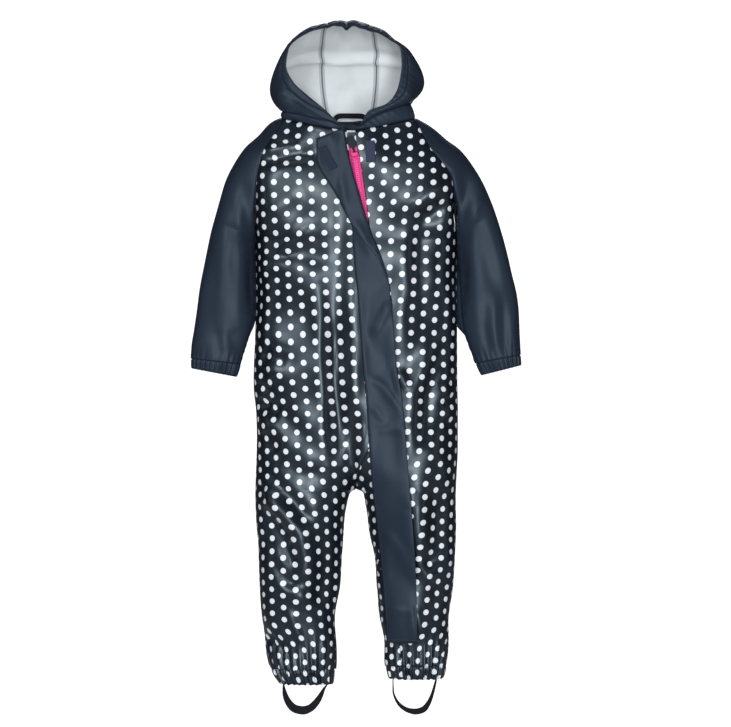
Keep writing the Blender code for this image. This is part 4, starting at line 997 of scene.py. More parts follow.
def build_head(cloths):
    """Neckband and hood on the body's neck line."""
    line = [cloths["front_left"].grid[0][-1:]]
    for name in ("front_left", "sleeve_left", "back_left", "back_right", "sleeve_right", "front_right"):
        way = 1 if name == "sleeve_left" else -1
        line.append(cloths[name].grid[0][::way][1:])
    line = np.concatenate(line)
    total = lengths_along(line)[-1]
    shares = lengths_along(line) / total
    tops = np.array([HOOD.spot(share, "neck") for share in shares])
    down = np.linspace(0, 1, 8)[:, None, None]
    band = Cloth("neckband", tops * (1 - down) + line * down, flipped=True)
    band.extra = np.tile(0.9 * np.sin(math.pi * down[..., 0]) ** 0.7, len(shares))
    cuts = [hood_cut(share, (steps(44), np.linspace(0, 1, 7)[1:])) for share in shares]
    grid = np.array(cuts).transpose(1, 0, 2)[::-1]
    left = int(np.argmin(np.abs(shares - HOOD_SEAM_LEFT)))
    right = int(np.argmin(np.abs(shares - HOOD_SEAM_RIGHT)))
    hem = Cloth("hood_hem", grid[:7], flipped=True)
    puff = np.sin(np.linspace(0, math.pi, 7)) ** 0.6
    ripple = np.cos(2 * math.pi * shares * total / 8.5 + 1.2 * np.sin(shares * 40))
    high = np.array([soft((HOOD.at(share)["face_z"] - 70) / 40) for share in shares])
    hem.extra = puff[:, None] * (0.45 + 0.35 * high + (0.08 + 0.3 * high) * ripple)[None, :]
    cloth = grid[6:]
    for piece in (
        band,
        Cloth("hood_side_left", cloth[:, : left + 1], flipped=True),
        Cloth("hood_centre", cloth[:, left : right + 1], flipped=True),
        Cloth("hood_side_right", cloth[:, right:], flipped=True),
        hem,
    ):
        cloths[piece.name] = piece
        piece.lay_out()


SEWN = {
    "front_left": ("left", "top"),
    "front_right": ("right", "top"),
    "front_right_inner": ("left",),
    "back_left": ("left", "right", "top"),
    "back_right": ("left", "right", "top"),
    "sleeve_left": ("left", "right", "top"),
    "sleeve_right": ("left", "right", "top"),
    "neckband": ("top", "bottom"),
    "hood_side_left": ("right", "top", "bottom"),
    "hood_centre": ("left", "right", "top", "bottom"),
    "hood_side_right": ("left", "top", "bottom"),
    "hood_hem": ("bottom",),
}


# The gather at the top of the hood's face edge.
NOTCH_X = -12.7
NOTCH_DEPTH = 4.5


def notch_drop(places):
    """How far the hood's top edge drops in its middle gather, and swells beside it."""
    away = places[..., 0] - NOTCH_X
    drop = NOTCH_DEPTH * np.exp(-((away / 4.2) ** 2))
    drop -= 2.0 * np.exp(-(((away + 12) / 8) ** 2)) + 2.0 * np.exp(-(((away - 13) / 8) ** 2))
    drop += 0.7 * np.sin(away / 2.2) * np.exp(-((away / 34) ** 2))
    reach = soft((places[..., 2] - 92) / 22) * np.exp(-(((places[..., 1] + 46) / 26) ** 2))
    return drop * reach


def shape_cloths(cloths):
    """Push every cloth out by its creases, folds, gathers and seams; keep inner faces too."""
    normals = share_edges(list(cloths.values()))
    for name, cloth in cloths.items():
        n = normals[name]
        grid = cloth.grid
        pressed = side_press(grid)
        height = fold_height(grid, n, CREASES)
        height = height + FOLD_DEPTH * fold_height(grid, n, FOLDS, FOLD_SPREAD)
        height = height + slack_height(grid) * body_share(grid) * (1 - 0.85 * pressed)
        height = height + seam_height(cloth, SEWN[name]) * (1 - 0.8 * pressed)
        height = height * (1 - armpit_share(grid)) + cloth.extra
        cloth.outer = grid + height[..., None] * n
        cloth.inner = cloth.outer - CLOTH * n
        cloth.facing = n
        if name.startswith("hood"):
            drop = notch_drop(grid)
            cloth.outer[..., 2] -= drop
            cloth.inner[..., 2] -= drop


def link_object(name, data):
    """A new object in the scene."""
    made = bpy.data.objects.new(name, data)
    bpy.context.scene.collection.objects.link(made)
    return made


def add_map(mesh, name, spots):
    """A map in metres, from one place in millimetres for each vertex."""
    layer = mesh.uv_layers.new(name=name)
    index = np.empty(len(mesh.loops), dtype=np.int32)
    mesh.loops.foreach_get("vertex_index", index)
    layer.data.foreach_set("uv", (spots[index] * MM).astype(np.float32).ravel())


def wall(cloth, materials, cut):
    """The cloth's outer and inner grids as a shell, closed round its rim."""
    rows, columns = cloth.outer.shape[:2]
    skip = rows * columns
    across = columns if cloth.closed else columns - 1
    i, j = np.meshgrid(np.arange(rows - 1), np.arange(across), indexing="ij")
    a = (i * columns + j).ravel()
    b = (i * columns + (j + 1) % columns).ravel()
    front = np.stack([a, a + columns, b + columns, b], axis=1)
    back = np.stack([a, b, b + columns, a + columns], axis=1) + skip
    rims = []

    def add_rim(a, b, turned):
        quad = np.stack([a, b, b + skip, a + skip], axis=1)
        rims.append(quad[:, ::-1] if turned else quad)

    j = np.arange(across)
    for row, turned in ((0, False), (rows - 1, True)):
        add_rim(row * columns + j, row * columns + (j + 1) % columns, turned)
    if not cloth.closed:
        a = np.arange(rows - 1) * columns
        for column, turned in ((0, True), (columns - 1, False)):
            add_rim(a + column, a + column + columns, turned)
    faces = np.concatenate([front, back, *rims])
    if cloth.flipped:
        faces = faces[:, ::-1]
    slots = np.zeros(len(faces), dtype=np.int32)
    slots[len(front) : len(front) + len(back)] = len(materials) - 1
    vertices = np.concatenate([cloth.outer.reshape(-1, 3), cloth.inner.reshape(-1, 3)])
    mesh = bpy.data.meshes.new(cloth.name + "_cloth")
    mesh.from_pydata((vertices * MM).tolist(), [], faces.tolist())
    for material in materials:
        mesh.materials.append(material)
    mesh.polygons.foreach_set("material_index", slots)
    add_map(mesh, "cut", np.tile(cut.reshape(-1, 2), (2, 1)))
    if cloth.name in HOOD_SEAMS:
        add_map(mesh, "seam", seam_map(cloth, HOOD_SEAMS[cloth.name]))
    mesh.shade_smooth()
    return link_object(mesh.name, mesh)


# Which columns of each hood piece lie on the hood's two long seams.
HOOD_SEAMS = {"hood_side_left": [-1], "hood_centre": [0, -1], "hood_side_right": [0]}


def seam_map(cloth, columns):
    """Each vertex's distance from the nearest long seam of the hood, as the first coordinate."""
    away = np.full(cloth.outer.shape[:2], 1e9)
    for column in columns:
        line = cloth.outer[:, column][:, None]
        away = np.minimum(away, np.linalg.norm(cloth.outer - line, axis=-1))
    away = np.tile(away.ravel(), 2)
    return np.stack([away, np.zeros(len(away))], axis=1)


def srgb(*levels):
    """Linear colour of an 8-bit screen colour."""
    shares = [v / 255 for v in levels]
    return tuple(s / 12.92 if s <= 0.04045 else ((s + 0.055) / 1.055) ** 2.4 for s in shares)


class Wire:
    """A number inside a shader, so that sums of them read as sums."""

    def __init__(self, look, socket):
        self.look = look
        self.socket = socket

    def math(self, operation, *others):
        return self.look.node("ShaderNodeMath", {"operation": operation}, [self, *others])

    def __add__(self, other):
        return self.math("ADD", other)

    def __sub__(self, other):
        return self.math("SUBTRACT", other)

    def __mul__(self, other):
        return self.math("MULTIPLY", other)

    __radd__ = __add__
    __rmul__ = __mul__

    def __rsub__(self, other):
        return self.look.node("ShaderNodeMath", {"operation": "SUBTRACT"}, [other, self])

    def from_nearest(self):
        """Distance from the nearest whole number, with its sign."""
        return self - self.math("ROUND")

    def ribs(self, pitch):
        """A sine wave along this length in metres, with its pitch in millimetres."""
        return (self * (2000 * math.pi / pitch)).math("SINE")

    def step(self, low, high):
        """Smooth step of this value between two levels."""
        inputs = {"Value": self, "From Min": low, "From Max": high, "To Min": 0.0, "To Max": 1.0}
        settings = {"interpolation_type": "SMOOTHSTEP"}
        return self.look.node("ShaderNodeMapRange", settings, inputs)


class Look:
    """A material under construction, with its principled shader."""

    def __init__(self, name, **constants):
        self.material = bpy.data.materials.new(name)
        self.material.use_nodes = True
        self.tree = self.material.node_tree
        self.shader = self.tree.nodes["Principled BSDF"]
        self.set(**constants)

    def set(self, **inputs):
        """Sockets of the shader by name, with _ for a space, and their values or wires."""
        for name, value in inputs.items():
            self.plug(self.shader.inputs[name.replace("_", " ")], value)

    def plug(self, socket, value):
        """Set a socket to a number or a colour, or wire it."""
        if isinstance(value, Wire):
            self.tree.links.new(value.socket, socket)
        elif isinstance(value, tuple) and len(value) == 3 and socket.type == "RGBA":
            socket.default_value = (*value, 1.0)
        else:
            socket.default_value = value

    def node(self, kind, settings=None, inputs=None, output=0):
        """Any node: its settings, its inputs by name or in order, and the output wanted."""
        made = self.tree.nodes.new(kind)
        for key, value in (settings or {}).items():
            setattr(made, key, value)
        pairs = inputs.items() if isinstance(inputs, dict) else enumerate(inputs or [])
        for key, value in pairs:
            self.plug(made.inputs[key], value)
        return Wire(self, made.outputs[output])

    def mix(self, share, low, high):
        """Colour between two colours."""
        return self.node("ShaderNodeMix", {"data_type": "RGBA"}, {0: share, 6: low, 7: high}, 2)

    def map(self, name):
        """The two coordinates of one of the piece's own maps, in metres."""
        place = self.node("ShaderNodeUVMap", {"uv_map": name})
        parts = self.node("ShaderNodeSeparateXYZ", inputs=[place]).socket.node
        return Wire(self, parts.outputs[0]), Wire(self, parts.outputs[1])

    def noise(self, scale, detail=2.0):
        """Uneven tone over the object, finer the larger the scale."""
        place = self.node("ShaderNodeTexCoord", output="Object")
        inputs = {"Vector": place, "Scale": scale, "Detail": detail, "Roughness": 0.5}
        return self.node("ShaderNodeTexNoise", inputs=inputs)

    def bump(self, height, distance):
        """Relief of the surface; distance is the height in metres of a change of 1."""
        inputs = {"Height": height, "Distance": distance, "Strength": 1.0}
        self.set(Normal=self.node("ShaderNodeBump", inputs=inputs))


def mottled(name, scale, detail, dark, light, **constants):
    """A look whose colour drifts between two tones, and the wire of that drift."""
    look = Look(name, **constants)
    tone = look.noise(scale, detail)
    look.set(Base_Color=look.mix(tone, dark, light))
    return look, tone


def coated(look):
    """The fine grain of a thin coated cloth."""
    look.bump(look.noise(1400.0, 3.0) * 0.5 + look.noise(90.0, 2.0) * 4.0, 0.00003)


COOL = (0.72, 0.88, 1.0)


def dotted_look(name, banded=False):
    """Dark glossy cloth with a diamond print of round pale dots; the guard has a pale top band."""
    look = Look(name, Roughness=0.4, Specular_IOR_Level=0.5, Specular_Tint=COOL)
    look.set(Coat_Weight=0.15, Coat_Roughness=0.26)
    u, v = look.map("cut")
    column = u * (1000 / COLUMN_PITCH)
    count = v * (1000 / DOT_PITCH)
    nearest = None
    for shift in (0.0, 1.0):
        across = ((column - shift) * 0.5).from_nearest() * (2 * COLUMN_PITCH)
        down = (count - 0.5 * shift).from_nearest() * DOT_PITCH
        distance = (across * across + down * down).math("SQRT")
        nearest = distance if nearest is None else nearest.math("MINIMUM", distance)
    dot = nearest.step(0.5 * DOT_SIZE + 0.2, 0.5 * DOT_SIZE - 0.2)
    colour = look.mix(dot, srgb(6, 12, 22), srgb(214, 215, 220))
    if banded:
        colour = look.mix(v.step(-0.0068, -0.0076), colour, srgb(176, 178, 184))
    look.set(Base_Color=colour)
    coated(look)
    return look.material


def plain_look():
    """Satin coated cloth in one dark colour."""
    look, _ = mottled("plain_coated_cloth", 14.0, 3.0, srgb(25, 32, 44), srgb(33, 41, 54),
                      Roughness=0.48, Specular_IOR_Level=0.24, Specular_Tint=COOL)
    coated(look)
    return look.material


def backing_look(name, taped):
    """The pale knitted backing on the inside of the cloth, taped along the hood's seams, with a painted
    shadow line down the middle of each seam.
    """
    look = Look(name, Roughness=0.9)
    u, v = look.map("cut")
    colour = look.mix(look.noise(60.0, 3.0), srgb(198, 201, 202), srgb(215, 217, 218))
    if taped:
        away, _ = look.map("seam")
        colour = look.mix(away.step(0.0044, 0.0034), colour, srgb(172, 175, 178))
        # A thin darker line down each seam's middle is painted shade, standing in for the seam's
        # shadow.
        colour = look.mix(away.step(0.0011, 0.0005), colour, srgb(92, 97, 106))
    look.set(Base_Color=colour)
    look.bump(u.ribs(1.6) * v.ribs(1.2) * 0.5 + look.noise(900.0) * 0.7, 0.00006)
    return look.material


def tape_look():
    """Woven pink tape."""
    look = Look("pink_tape", Roughness=0.7)
    u, v = look.map("cut")
    tone = (u.ribs(2.1) * 0.5 + 0.5) * 0.75 + look.noise(120.0, 2.0) * 0.25
    look.set(Base_Color=look.mix(tone, srgb(186, 14, 92), srgb(240, 66, 152)))
    look.bump(v.ribs(0.9), 0.00005)
    return look.material


def smooth_look(name, scale, dark, light, **constants):
    """A moulded or spun finish without relief."""
    return mottled(name, scale, 1.0, dark, light, **constants)[0].material


def cast_look(name, dark, light, **constants):
    """A cast finish with the faintest relief."""
    look, tone = mottled(name, 300.0, 1.0, dark, light, **constants)
    look.bump(tone, 0.00002)
    return look.material


def pile_look(name, dark, light):
    """Hook-and-loop patch: short tangled pile."""
    look, tone = mottled(name, 700.0, 3.0, dark, light, Roughness=0.92)
    look.bump(tone + look.noise(2200.0) * 0.6, 0.0005)
    return look.material


def elastic_look():
    """Woven elastic with ribs along its length."""
    look, _ = mottled("woven_elastic", 400.0, 2.0, srgb(18, 18, 24), srgb(32, 32, 40),
                      Roughness=0.85, Specular_IOR_Level=0.15)
    u, v = look.map("cut")
    look.bump(u.ribs(1.3) * 0.7 + v.ribs(1.0) * 0.3, 0.00018)
    return look.material


def build_looks():
    """Every finish of the suit, by the name it goes by here."""
    thread = srgb(58, 64, 80)
    shaded_thread = tuple(0.7 * c for c in thread)
    chain = (srgb(236, 70, 152), srgb(250, 128, 186))
    slider = (srgb(206, 30, 112), srgb(226, 50, 132))
    pull = (srgb(26, 29, 35), srgb(38, 42, 50))
    return {
        "dotted": dotted_look("dotted_coated_cloth"),
        "guard": dotted_look("dotted_guard", True),
        "plain": plain_look(),
        "backing": backing_look("knitted_backing", False),
        "taped_backing": backing_look("taped_backing", True),
        "tape": tape_look(),
        "chain": smooth_look("pink_chain", 200.0, *chain, Roughness=0.38),
        "slider": cast_look("pink_slider", *slider, Roughness=0.35),
        "pull": cast_look("dark_pull", *pull, Roughness=0.6, Specular_IOR_Level=0.12),
        "dark_patch": pile_look("dark_pile", srgb(14, 20, 36), srgb(34, 42, 64)),
        "blue_patch": pile_look("blue_pile", srgb(32, 37, 58), srgb(56, 61, 86)),
        "elastic": elastic_look(),
        "thread": smooth_look("navy_thread", 1500.0, shaded_thread, thread, Roughness=0.7),
    }


def leg_ring(z, side, count):
    """A level ring round one leg."""
    row = BodyRow("level", z)
    shares = np.linspace(0, 1, 60)
    front = curve(row.halves[side, FRONT], shares)
    back = curve(row.halves[side, BACK], shares)[::-1]
    return even_ring(np.concatenate([front, back[1:-1]]), count)


def casing(name, rings, waves, flipped):
    """An elastic casing: a gathered tube, deepest where the elastic sits."""
    cloth = Cloth(name, rings, flipped=flipped, closed=True)
    n = unit(cloth.own_normals())
    rows, count = cloth.grid.shape[:2]
    across = np.linspace(0, 1, rows)
    strength = GATHER_DEPTH[waves] * (0.85 + 0.15 * np.sin(math.pi * across))
    height = strength[:, None] * gather_height(np.arange(count) / count, waves, 1.0)[None, :]
    rolled = 0.9 * np.exp(-(((across - 1) / 0.08) ** 2)) + 1.3 * np.exp(-((across / 0.08) ** 2))
    stitched = 0.5 * np.exp(-(((across - 0.13) / 0.05) ** 2))
    height -= (rolled + stitched)[:, None]
    cloth.outer = cloth.grid + height[..., None] * n
    cloth.inner = cloth.outer - CASING_WALL * n
    cloth.facing = n
    cloth.lay_out()
    return cloth


def make_piece(cloth, materials, held, cut=None):
    """Make the cloth's mesh, hang it on the suit's body, and hide the frame's part of the same name."""
    made = wall(cloth, materials, cloth.cut if cut is None else cut)
    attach(made, "suit")
    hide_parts(cloth.name)


def surface_of(grids):
    """The faces of these grids, to lay pieces on."""
    vertices = []
    faces = []
    start = 0
    for grid in grids:
        rows, columns = grid.shape[:2]
        vertices += grid.reshape(-1, 3).tolist()
        i, j = np.meshgrid(np.arange(rows - 1), np.arange(columns - 1), indexing="ij")
        a = (start + i * columns + j).ravel()
        faces += np.stack([a, a + columns, a + columns + 1, a + 1], axis=1).tolist()
        start += rows * columns
    return BVHTree.FromPolygons(vertices, faces)


def front_surface(cloths):
    """The front's outer faces, with the zip's gap bridged."""
    left = cloths["front_left"].outer
    right = cloths["front_right"].outer
    inner = cloths["front_right_inner"].outer
    above = len(right) - len(inner)
    bridge = []
    for i in range(len(right)):
        edge = inner[i - above, -1] if i >= above else left[i, -1]
        bridge.append([edge, right[i, 0]])
    return surface_of([left, right, inner, cloths["neckband"].outer, np.array(bridge)])


def front_hit(surface, x, z):
    """Depth of the cloth at x, z as seen from the front, and how squarely it faces it."""
    hit = surface.ray_cast(Vector((x, -400, z)), Vector((0, 1, 0)))
    if hit[0] is None:
        return None
    return hit[0].y, max(abs(hit[1].y), 0.5)


def on_front(surface, x, z, lift, reach=0.0):
    """The point this far in front of the cloth at x, z, or of the cloth within reach of it."""
    best = None
    for dx in (-reach, 0, reach) if reach else (0, -4, 4):
        for dz in (-1.3 * reach, 0, 1.3 * reach) if reach else (0, -8, -16):
            hit = front_hit(surface, x + dx, z + dz)
            if hit is None:
                continue
            here = hit[0] - lift / hit[1]
            if best is None or (here < best if lift > 0 else here > best):
                best = here
            if not reach:
                return point(x, best, z)
    return point(x, best, z)


def lay_piece(name, outer, inner, material, held):
    """A made-up flat piece from two grids."""
    cloth = Cloth(name, outer)
    cloth.inner = inner
    cloth.lay_out()
    make_piece(cloth, [material], held)


def build_zip(surface, looks):
    """Tape behind the gap between the fronts, and the chain's teeth standing on it."""
    heights = np.append(np.arange(ZIP_TOP, ZIP_END + 4, -4.0), ZIP_END)
    offsets = np.array([-12, -9, -6, -3.4, -2.6, -1.2, 0, 1.2, 2.6, 3.4, 6, 9, 12])
    grid = []
    for z in heights:
        x = ZIP.at(z)["x"]
        grid.append([on_front(surface, x + dx, z, -(1.6 + CLEAR), 4.0) for dx in offsets])
    grid = np.array(grid)
    grid[..., 1] = smoothed(grid[..., 1], 6)
    raised = np.where(np.abs(offsets) < 3, 0.5, 0.0)[None, :] * (heights < GUARD_END)[:, None]
    outer = grid - raised[..., None] * point(0, 1, 0)
    inner = grid + point(0, 1.1, 0)
    lay_piece("zip_tape", outer, inner, looks["tape"], "laid")
    below = heights < GUARD_END - 16
    for word, column in (("left", 5), ("right", 7)):
        line = outer[below, column] - point(0, 0.45, 0)
        if word == "right":
            line[0] = (line[0] + line[1]) / 2
        teeth = repeated("teeth_" + word, line, TOOTH_PITCH, TOOTH_RADII, looks["chain"], False)


def flap_offset(length, run):
    """Sideways and outward travel of the flap's underside, this far from its sewn edge."""
    if length <= run:
        return length, 0.0
    around = (length - run) / FLAP_ROLL
    if around <= math.pi:
        return run + FLAP_ROLL * math.sin(around), FLAP_ROLL * (1 - math.cos(around))
    beyond = length - run - math.pi * FLAP_ROLL
    return run - beyond, 2 * FLAP_ROLL


def flap_point(surface, z, length):
    """A point of the storm flap's underside."""
    row = ZIP.at(z)
    along, rise = flap_offset(length, row["run"])
    x = row["attach"] + along
    folded = max(0.0, length - row["run"] - 0.5 * math.pi * FLAP_ROLL)
    height = z - row["drop"] * folded
    past_edge = max(0.0, -along - 2.0)
    rest = FLAP_THICKNESS + 0.6
    if rise > rest and past_edge > 0:
        rise = rest + (rise - rest) * math.exp(-((past_edge / 9.0) ** 2))
    return on_front(surface, x, height, CLEAR + rise, 6.0)


def flap_marks(row):
    """Lengths from the sewn edge at which a row of the flap is drawn."""
    width = row["width"]
    flat = min(row["run"], 0.7 * width)
    left_over = width - flat
    curl = math.pi * FLAP_ROLL
    before = np.linspace(0, flat, 9)[:-1]
    if left_over > curl + 4:
        around = flat + np.linspace(0, curl, 9)[:-1]
        after = flat + np.linspace(curl, left_over, 11)
        return np.concatenate([before, around, after])
    return np.concatenate([before, flat + np.linspace(0, left_over, 19)])


def build_flap(surface, looks):
    """The storm flap: closed below the chest, rolled open toward its top."""
    heights = np.append(np.arange(-4, FLAP_END + 2, -4.0), FLAP_END)
    rows = [[flap_point(surface, z, mark) for mark in flap_marks(ZIP.at(z))] for z in heights]
    under = np.array(rows)
    under[..., 1] = smoothed(under[..., 1], 3)
    n = unit(Cloth("storm_flap", under).own_normals())
    forward = np.broadcast_to(point(0, -1, 0), n.shape)
    under[..., 1] -= 1.4 * fold_height(under, forward, FLAP_FOLDS, 1.2)
    puff = 0.6 * np.sin(math.pi * np.linspace(0, 1, under.shape[1])) ** 0.5
    outer = under + (FLAP_THICKNESS - 0.6 + puff)[None, :, None] * n
    lay_piece("storm_flap", outer, under, looks["plain"], "folded")
    return under, outer


def patch_grid(corners, surface, lift):
    """A smooth grid between four corners (x, z), this far in front of the cloth."""
    top_left, top_right, bottom_right, bottom_left = np.array(corners, dtype=float)
    grid = []
    for v in np.linspace(0, 1, 15):
        start = top_left * (1 - v) + bottom_left * v
        end = top_right * (1 - v) + bottom_right * v
        shares = np.linspace(0, 1, 11)
        grid.append([on_front(surface, *(start + (end - start) * s), lift) for s in shares])
    grid = np.array(grid)
    grid[..., 1] = smoothed(smoothed(grid[..., 1], 3), 3, 1)
    return grid


def build_patch(name, corners, surface, slot, looks):
    """A flat patch laid on the cloth, thinner toward its sides."""
    inner = patch_grid(corners, surface, CLEAR)
    share = np.linspace(0, 1, inner.shape[1])
    rise = PATCH_THICKNESS * (0.75 + 0.25 * soft(np.minimum(share, 1 - share) / 0.12))
    outer = inner - rise[None, :, None] * point(0, 1, 0)
    lay_piece(name, outer, inner, looks[slot], "laid")


def build_guard(surface, material):
    """The dotted guard over the zip's top end, its print placed by a dot near its right edge."""
    low = GUARD_END + 0.3
    corners = ((-12.6, -7.4), (0.6, -7.4), (2.6, low), (-10.2, low))
    inner = patch_grid(corners, surface, -1.7)
    cloth = Cloth("zip_guard", inner - 1.2 * point(0, 1, 0))
    cloth.inner = inner
    cloth.cut = np.stack([cloth.outer[..., 0] - 1.8, -17 - cloth.outer[..., 2]], axis=2)
    make_piece(cloth, [material], "laid")


def ribbon(name, path, across, half_width, half_thickness, material):
    """A flat stretched band along a path; across gives its width direction at each point."""
    across = unit(across)
    facing = unit(np.cross(unit(np.gradient(path, axis=0)), across))
    shares = np.array([-1, -0.92, -0.6, -0.3, 0, 0.3, 0.6, 0.92, 1])
    depth = half_thickness * np.array([0.5, 0.9, 1, 1, 1, 1, 1, 0.9, 0.5])
    line = path[:, None, :] + across[:, None, :] * (shares * half_width)[None, :, None]
    lift = facing[:, None, :] * depth[None, :, None]
    lay_piece(name, line + lift, line - lift, material, "stretched")


def build_stirrup(name, table, material):
    """An elastic strap under one leg, turned to show its face at the bottom."""
    rows = [table.at(i / 6) for i in range(67)]
    path = np.array([point(row["x"], 0, row["z"]) for row in rows])
    turns = np.radians([row["turn"] for row in rows])[:, None]
    sideways = np.cross(unit(np.gradient(path, axis=0)), point(0, -1, 0))
    across = point(0, 1, 0) * np.cos(turns) + sideways * np.sin(turns)
    ribbon(name, path, across, 5.6, 0.7, material)


HANGER_PATH = [
    (-27.5, 36.3, 11.0),
    (-26.5, 37.1, 14.0),
    (-23, 38.3, 16.6),
    (-17, 39.5, 17.0),
    (-8, 40.3, 17.0),
    (2, 39.7, 17.0),
    (8, 38.5, 16.6),
    (11.5, 37.3, 14.0),
    (12.5, 36.5, 11.0),
]


def build_hanger_loop(material):
    """A tape loop standing on the back neck seam, inside the hood."""
    path = np.array(HANGER_PATH)
    fine = np.linspace(0, len(path) - 1, 41)
    path = np.stack([np.interp(fine, np.arange(len(path)), path[:, k]) for k in range(3)], axis=1)
    path = smoothed(path, 3)
    across = np.cross(unit(np.gradient(path, axis=0)), point(0, 1, 0))
    ribbon("hanger_loop", path, across, 3.3, 0.6, material)


def repeated(name, path, spacing, radii, material, along_path=True):
    """Small rounded items at even spacing along a path, as one mesh made by nodes."""
    mesh = bpy.data.meshes.new(name)
    mesh.from_pydata((path * MM).tolist(), [(k, k + 1) for k in range(len(path) - 1)], [])
    made = link_object(name + "_line", mesh)
    tree = bpy.data.node_groups.new(name + "_nodes", "GeometryNodeTree")

    def socket(label, kind, way="INPUT"):
        """The identifier of a new socket of the tree."""
        kind = "NodeSocket" + kind
        return tree.interface.new_socket(label, in_out=way, socket_type=kind).identifier

    def node(kind, **inputs):
        """A node of the tree, its inputs set to a value or wired to another node's output."""
        added = tree.nodes.new(kind)
        for label, value in inputs.items():
            if isinstance(value, bpy.types.NodeSocket):
                tree.links.new(value, added.inputs[label])
            else:
                added.inputs[label].default_value = value
        return added

    socket("Line", "Geometry")
    gap = socket("Spacing", "Float")
    paint = socket("Material", "Material")
    socket("Items", "Geometry", "OUTPUT")
    start = node("NodeGroupInput").outputs
    line = node("GeometryNodeMeshToCurve", Mesh=start["Line"])
    spots = node("GeometryNodeCurveToPoints", Curve=line.outputs[0])
    spots.mode = "LENGTH"
    tree.links.new(start["Spacing"], spots.inputs["Length"])
    item = node("GeometryNodeMeshIcoSphere", Subdivisions=2, Radius=1.0)
    scatter = node(
        "GeometryNodeInstanceOnPoints",
        Points=spots.outputs["Points"],
        Instance=item.outputs["Mesh"],
        Scale=tuple(r * MM for r in radii),
    )
    if along_path:
        tree.links.new(spots.outputs["Rotation"], scatter.inputs["Rotation"])
    real = node("GeometryNodeRealizeInstances", Geometry=scatter.outputs[0])
    painted = node("GeometryNodeSetMaterial", Geometry=real.outputs[0], Material=start["Material"])
    node("NodeGroupOutput", Items=painted.outputs[0])
    modifier = made.modifiers.new("repeat", "NODES")
    modifier.node_group = tree
    modifier[gap] = spacing * MM
    modifier[paint] = material
    graph = bpy.context.evaluated_depsgraph_get()
    result = bpy.data.meshes.new_from_object(made.evaluated_get(graph))
    result.name = name
    made.modifiers.clear()
    bpy.data.objects.remove(made)
    bpy.data.node_groups.remove(tree)
    result.shade_smooth()
    finished = link_object(name, result)
    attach(finished, "suit")
    return finished


def stitch(name, row, looks):
    """A row of machine stitches just proud of the cloth."""
    repeated(name, row, STITCH_PITCH, STITCH_RADII, looks["thread"])


def stitch_casing(name, cloth, row, looks):
    """Stitches along one row of a casing, all round where it is a tube."""
    stitch(name, cloth.round(cloth.outer + 0.1 * cloth.facing)[row], looks)


STITCH_PITCH = 3.0
STITCH_RADII = (0.28, 0.28, 1.15)
CAMERA_DISTANCE = 5.0
CAMERA_X = 0.01235
CAMERA_Z = -0.3075
VIEW_WIDTH = 0.9503
FLOOR_Z = -0.95


def build_camera():
    """The camera at the photograph's viewing angle."""
    data = bpy.data.cameras.new("camera")
    data.sensor_width = 36.0
    data.lens = 36.0 * CAMERA_DISTANCE / VIEW_WIDTH
    data.clip_end = 50.0
    made = link_object("camera", data)
    made.location = (CAMERA_X, -CAMERA_DISTANCE, CAMERA_Z)
    made.rotation_euler = (math.radians(90), 0, 0)
    bpy.context.scene.camera = made


def build_light(name, place, aim, size, power):
    """A soft box at a place, turned to a point it aims at."""
    data = bpy.data.lights.new(name, "AREA")
    data.shape = "RECTANGLE"
    data.size, data.size_y = size
    data.energy = power
    data.color = (0.93, 0.97, 1.0)
    made = link_object(name, data)
    made.location = place
    made.rotation_euler = (Vector(aim) - Vector(place)).to_track_quat("-Z", "Y").to_euler()


def build_screen(name, look, corners):
    """One flat face of the studio."""
    mesh = bpy.data.meshes.new(name)
    mesh.from_pydata(corners, [], [(0, 1, 2, 3)])
    mesh.materials.append(look.material)
    link_object(name, mesh)


def build_studio():
    """Pale floor and backdrop, soft boxes and an even surround."""
    floor = Look("pale_floor", Roughness=0.9, Base_Color=srgb(238, 238, 238))
    white = Look("white_backdrop", Roughness=0.9, Base_Color=(0.8, 0.8, 0.8))
    white.set(Emission_Color=(1.0, 1.0, 1.0), Emission_Strength=1.0)
    square = ((-1.6, -1.6), (1.6, -1.6), (1.6, 1.6), (-1.6, 1.6))
    build_screen("studio_floor", floor, [(x, y, FLOOR_Z) for x, y in square])
    behind = ((-1.25, -1.6), (1.25, -1.6), (1.25, 1), (-1.25, 1))
    build_screen("studio_backdrop", white, [(x, 6, z) for x, z in behind])
    world = bpy.data.worlds.new("surround")
    world.use_nodes = True
    shade = world.node_tree.nodes["Background"]
    shade.inputs["Color"].default_value = (1.0, 1.0, 1.0, 1.0)
    shade.inputs["Strength"].default_value = 0.07
    bpy.context.scene.world = world
    bpy.context.scene.view_settings.view_transform = "Standard"
    build_light("box_key", (-1.5, -3.7, 1.1), (0, 0, -0.2), (0.9, 0.9), 84)
    build_light("box_fill", (0.7, -4.1, -0.5), (0, 0, -0.45), (0.8, 1.6), 122)
    build_light("box_left", (-2.2, -0.8, 0.2), (0, 0, -0.3), (0.6, 1.8), 4)
    build_light("box_right", (2.2, -0.9, 0.0), (0, 0, -0.35), (0.6, 1.8), 4)
    build_light("box_back", (0.0, 3.2, 1.9), (0, 0, -0.3), (1.4, 0.8), 30)
    build_light("box_top", (0.0, -0.6, 2.0), (0, 0, -0.1), (1.4, 0.7), 5)


def build_panels(cloths, looks):
    """The body, sleeves, neckband and hood."""
    for name, cloth in cloths.items():
        dotted = name.startswith(("front", "back"))
        materials = [looks["dotted" if dotted else "plain"]]
        if name in HOOD_SEAMS:
            materials.append(looks["taped_backing"])
        elif name not in ("neckband", "hood_hem"):
            materials.append(looks["backing"])
        make_piece(cloth, materials, "gathered" if name == "hood_hem" else "hung")


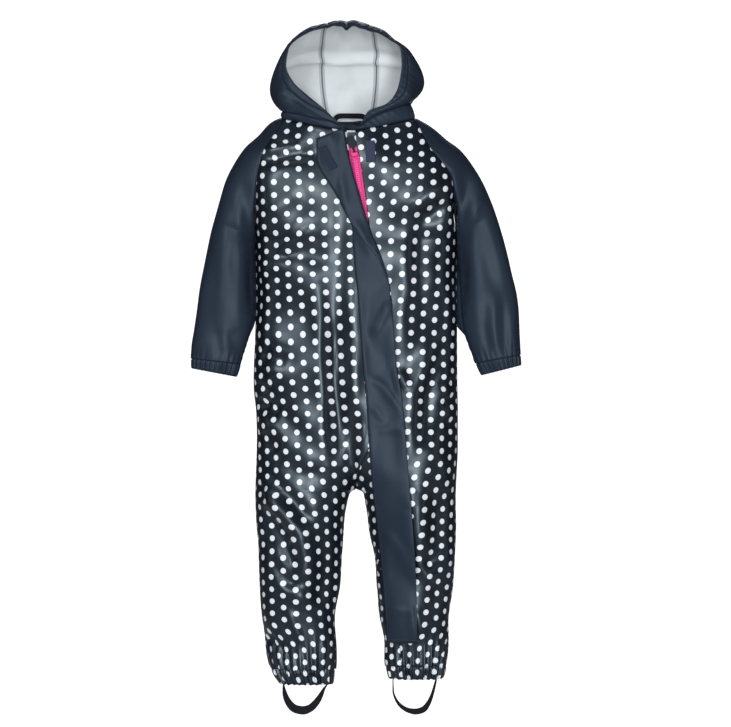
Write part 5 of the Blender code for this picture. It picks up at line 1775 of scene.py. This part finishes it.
def build_casings(cloths, looks):
    """The elastic casings of the wrists and ankles, with their stitches."""
    for side, word in SIDE_WORD.items():
        flipped = side == LEFT
        rings = []
        for ring in np.linspace(CUFF_RING - 0.02, 15, 13):
            section = sleeve_ring(side, ring, np.linspace(0, 1, 40))[:-1]
            rings.append(even_ring(section, 300))
        cuff = casing("cuff_" + word, rings, CUFF_WAVES, flipped)
        make_piece(cuff, [looks["plain"]], "gathered")
        stitch_casing("cuff_stitches_" + word, cuff, 2, looks)
        heights = np.linspace(LEG_END[side] + 1.2, HEM_END[side], 15)
        hem = casing("hem_" + word, [leg_ring(z, side, 288) for z in heights], HEM_WAVES, flipped)
        print_places = hem_print(hem, cloths, side)
        make_piece(hem, [looks["dotted"]], "gathered", cut=print_places)
        stitch_casing("hem_stitches_" + word, hem, 2, looks)
    stitch_casing("hood_stitches", cloths["hood_hem"], 4, looks)


def build_closure(cloths, looks):
    """The zip, the storm flap over it, its two patches and the guard."""
    surface = front_surface(cloths)
    build_zip(surface, looks)
    under, outer = build_flap(surface, looks)
    proud = point(0, 0.1, 0)
    side_row = (outer[:, 0] * 0.3 + outer[:, 1] * 0.7)[2:] - proud
    stitch("flap_side_stitches", side_row, looks)
    stitch("flap_end_stitches", outer[-2, 1:-1] - proud, looks)
    flap = surface_of([under, outer])
    build_patch("flap_patch", FLAP_PATCH_CORNERS, flap, "dark_patch", looks)
    build_guard(surface, looks["guard"])
    build_patch("body_patch", BODY_PATCH_CORNERS, surface, "blue_patch", looks)


def main():
    """Dress the whole suit, and set up its camera and studio."""
    looks = build_looks()
    cloths = build_body()
    build_head(cloths)
    shape_cloths(cloths)
    build_panels(cloths, looks)
    build_casings(cloths, looks)
    build_closure(cloths, looks)
    build_hanger_loop(looks["elastic"])
    build_stirrup("stirrup_left", STRAP_LEFT, looks["elastic"])
    build_stirrup("stirrup_right", STRAP_RIGHT, looks["elastic"])
    for name, look in (("zip_slider", "slider"), ("zip_pull", "pull")):
        mesh = bpy.data.objects[name].data
        mesh.materials.clear()
        mesh.materials.append(looks[look])
    build_camera()
    build_studio()
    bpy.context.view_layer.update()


main()
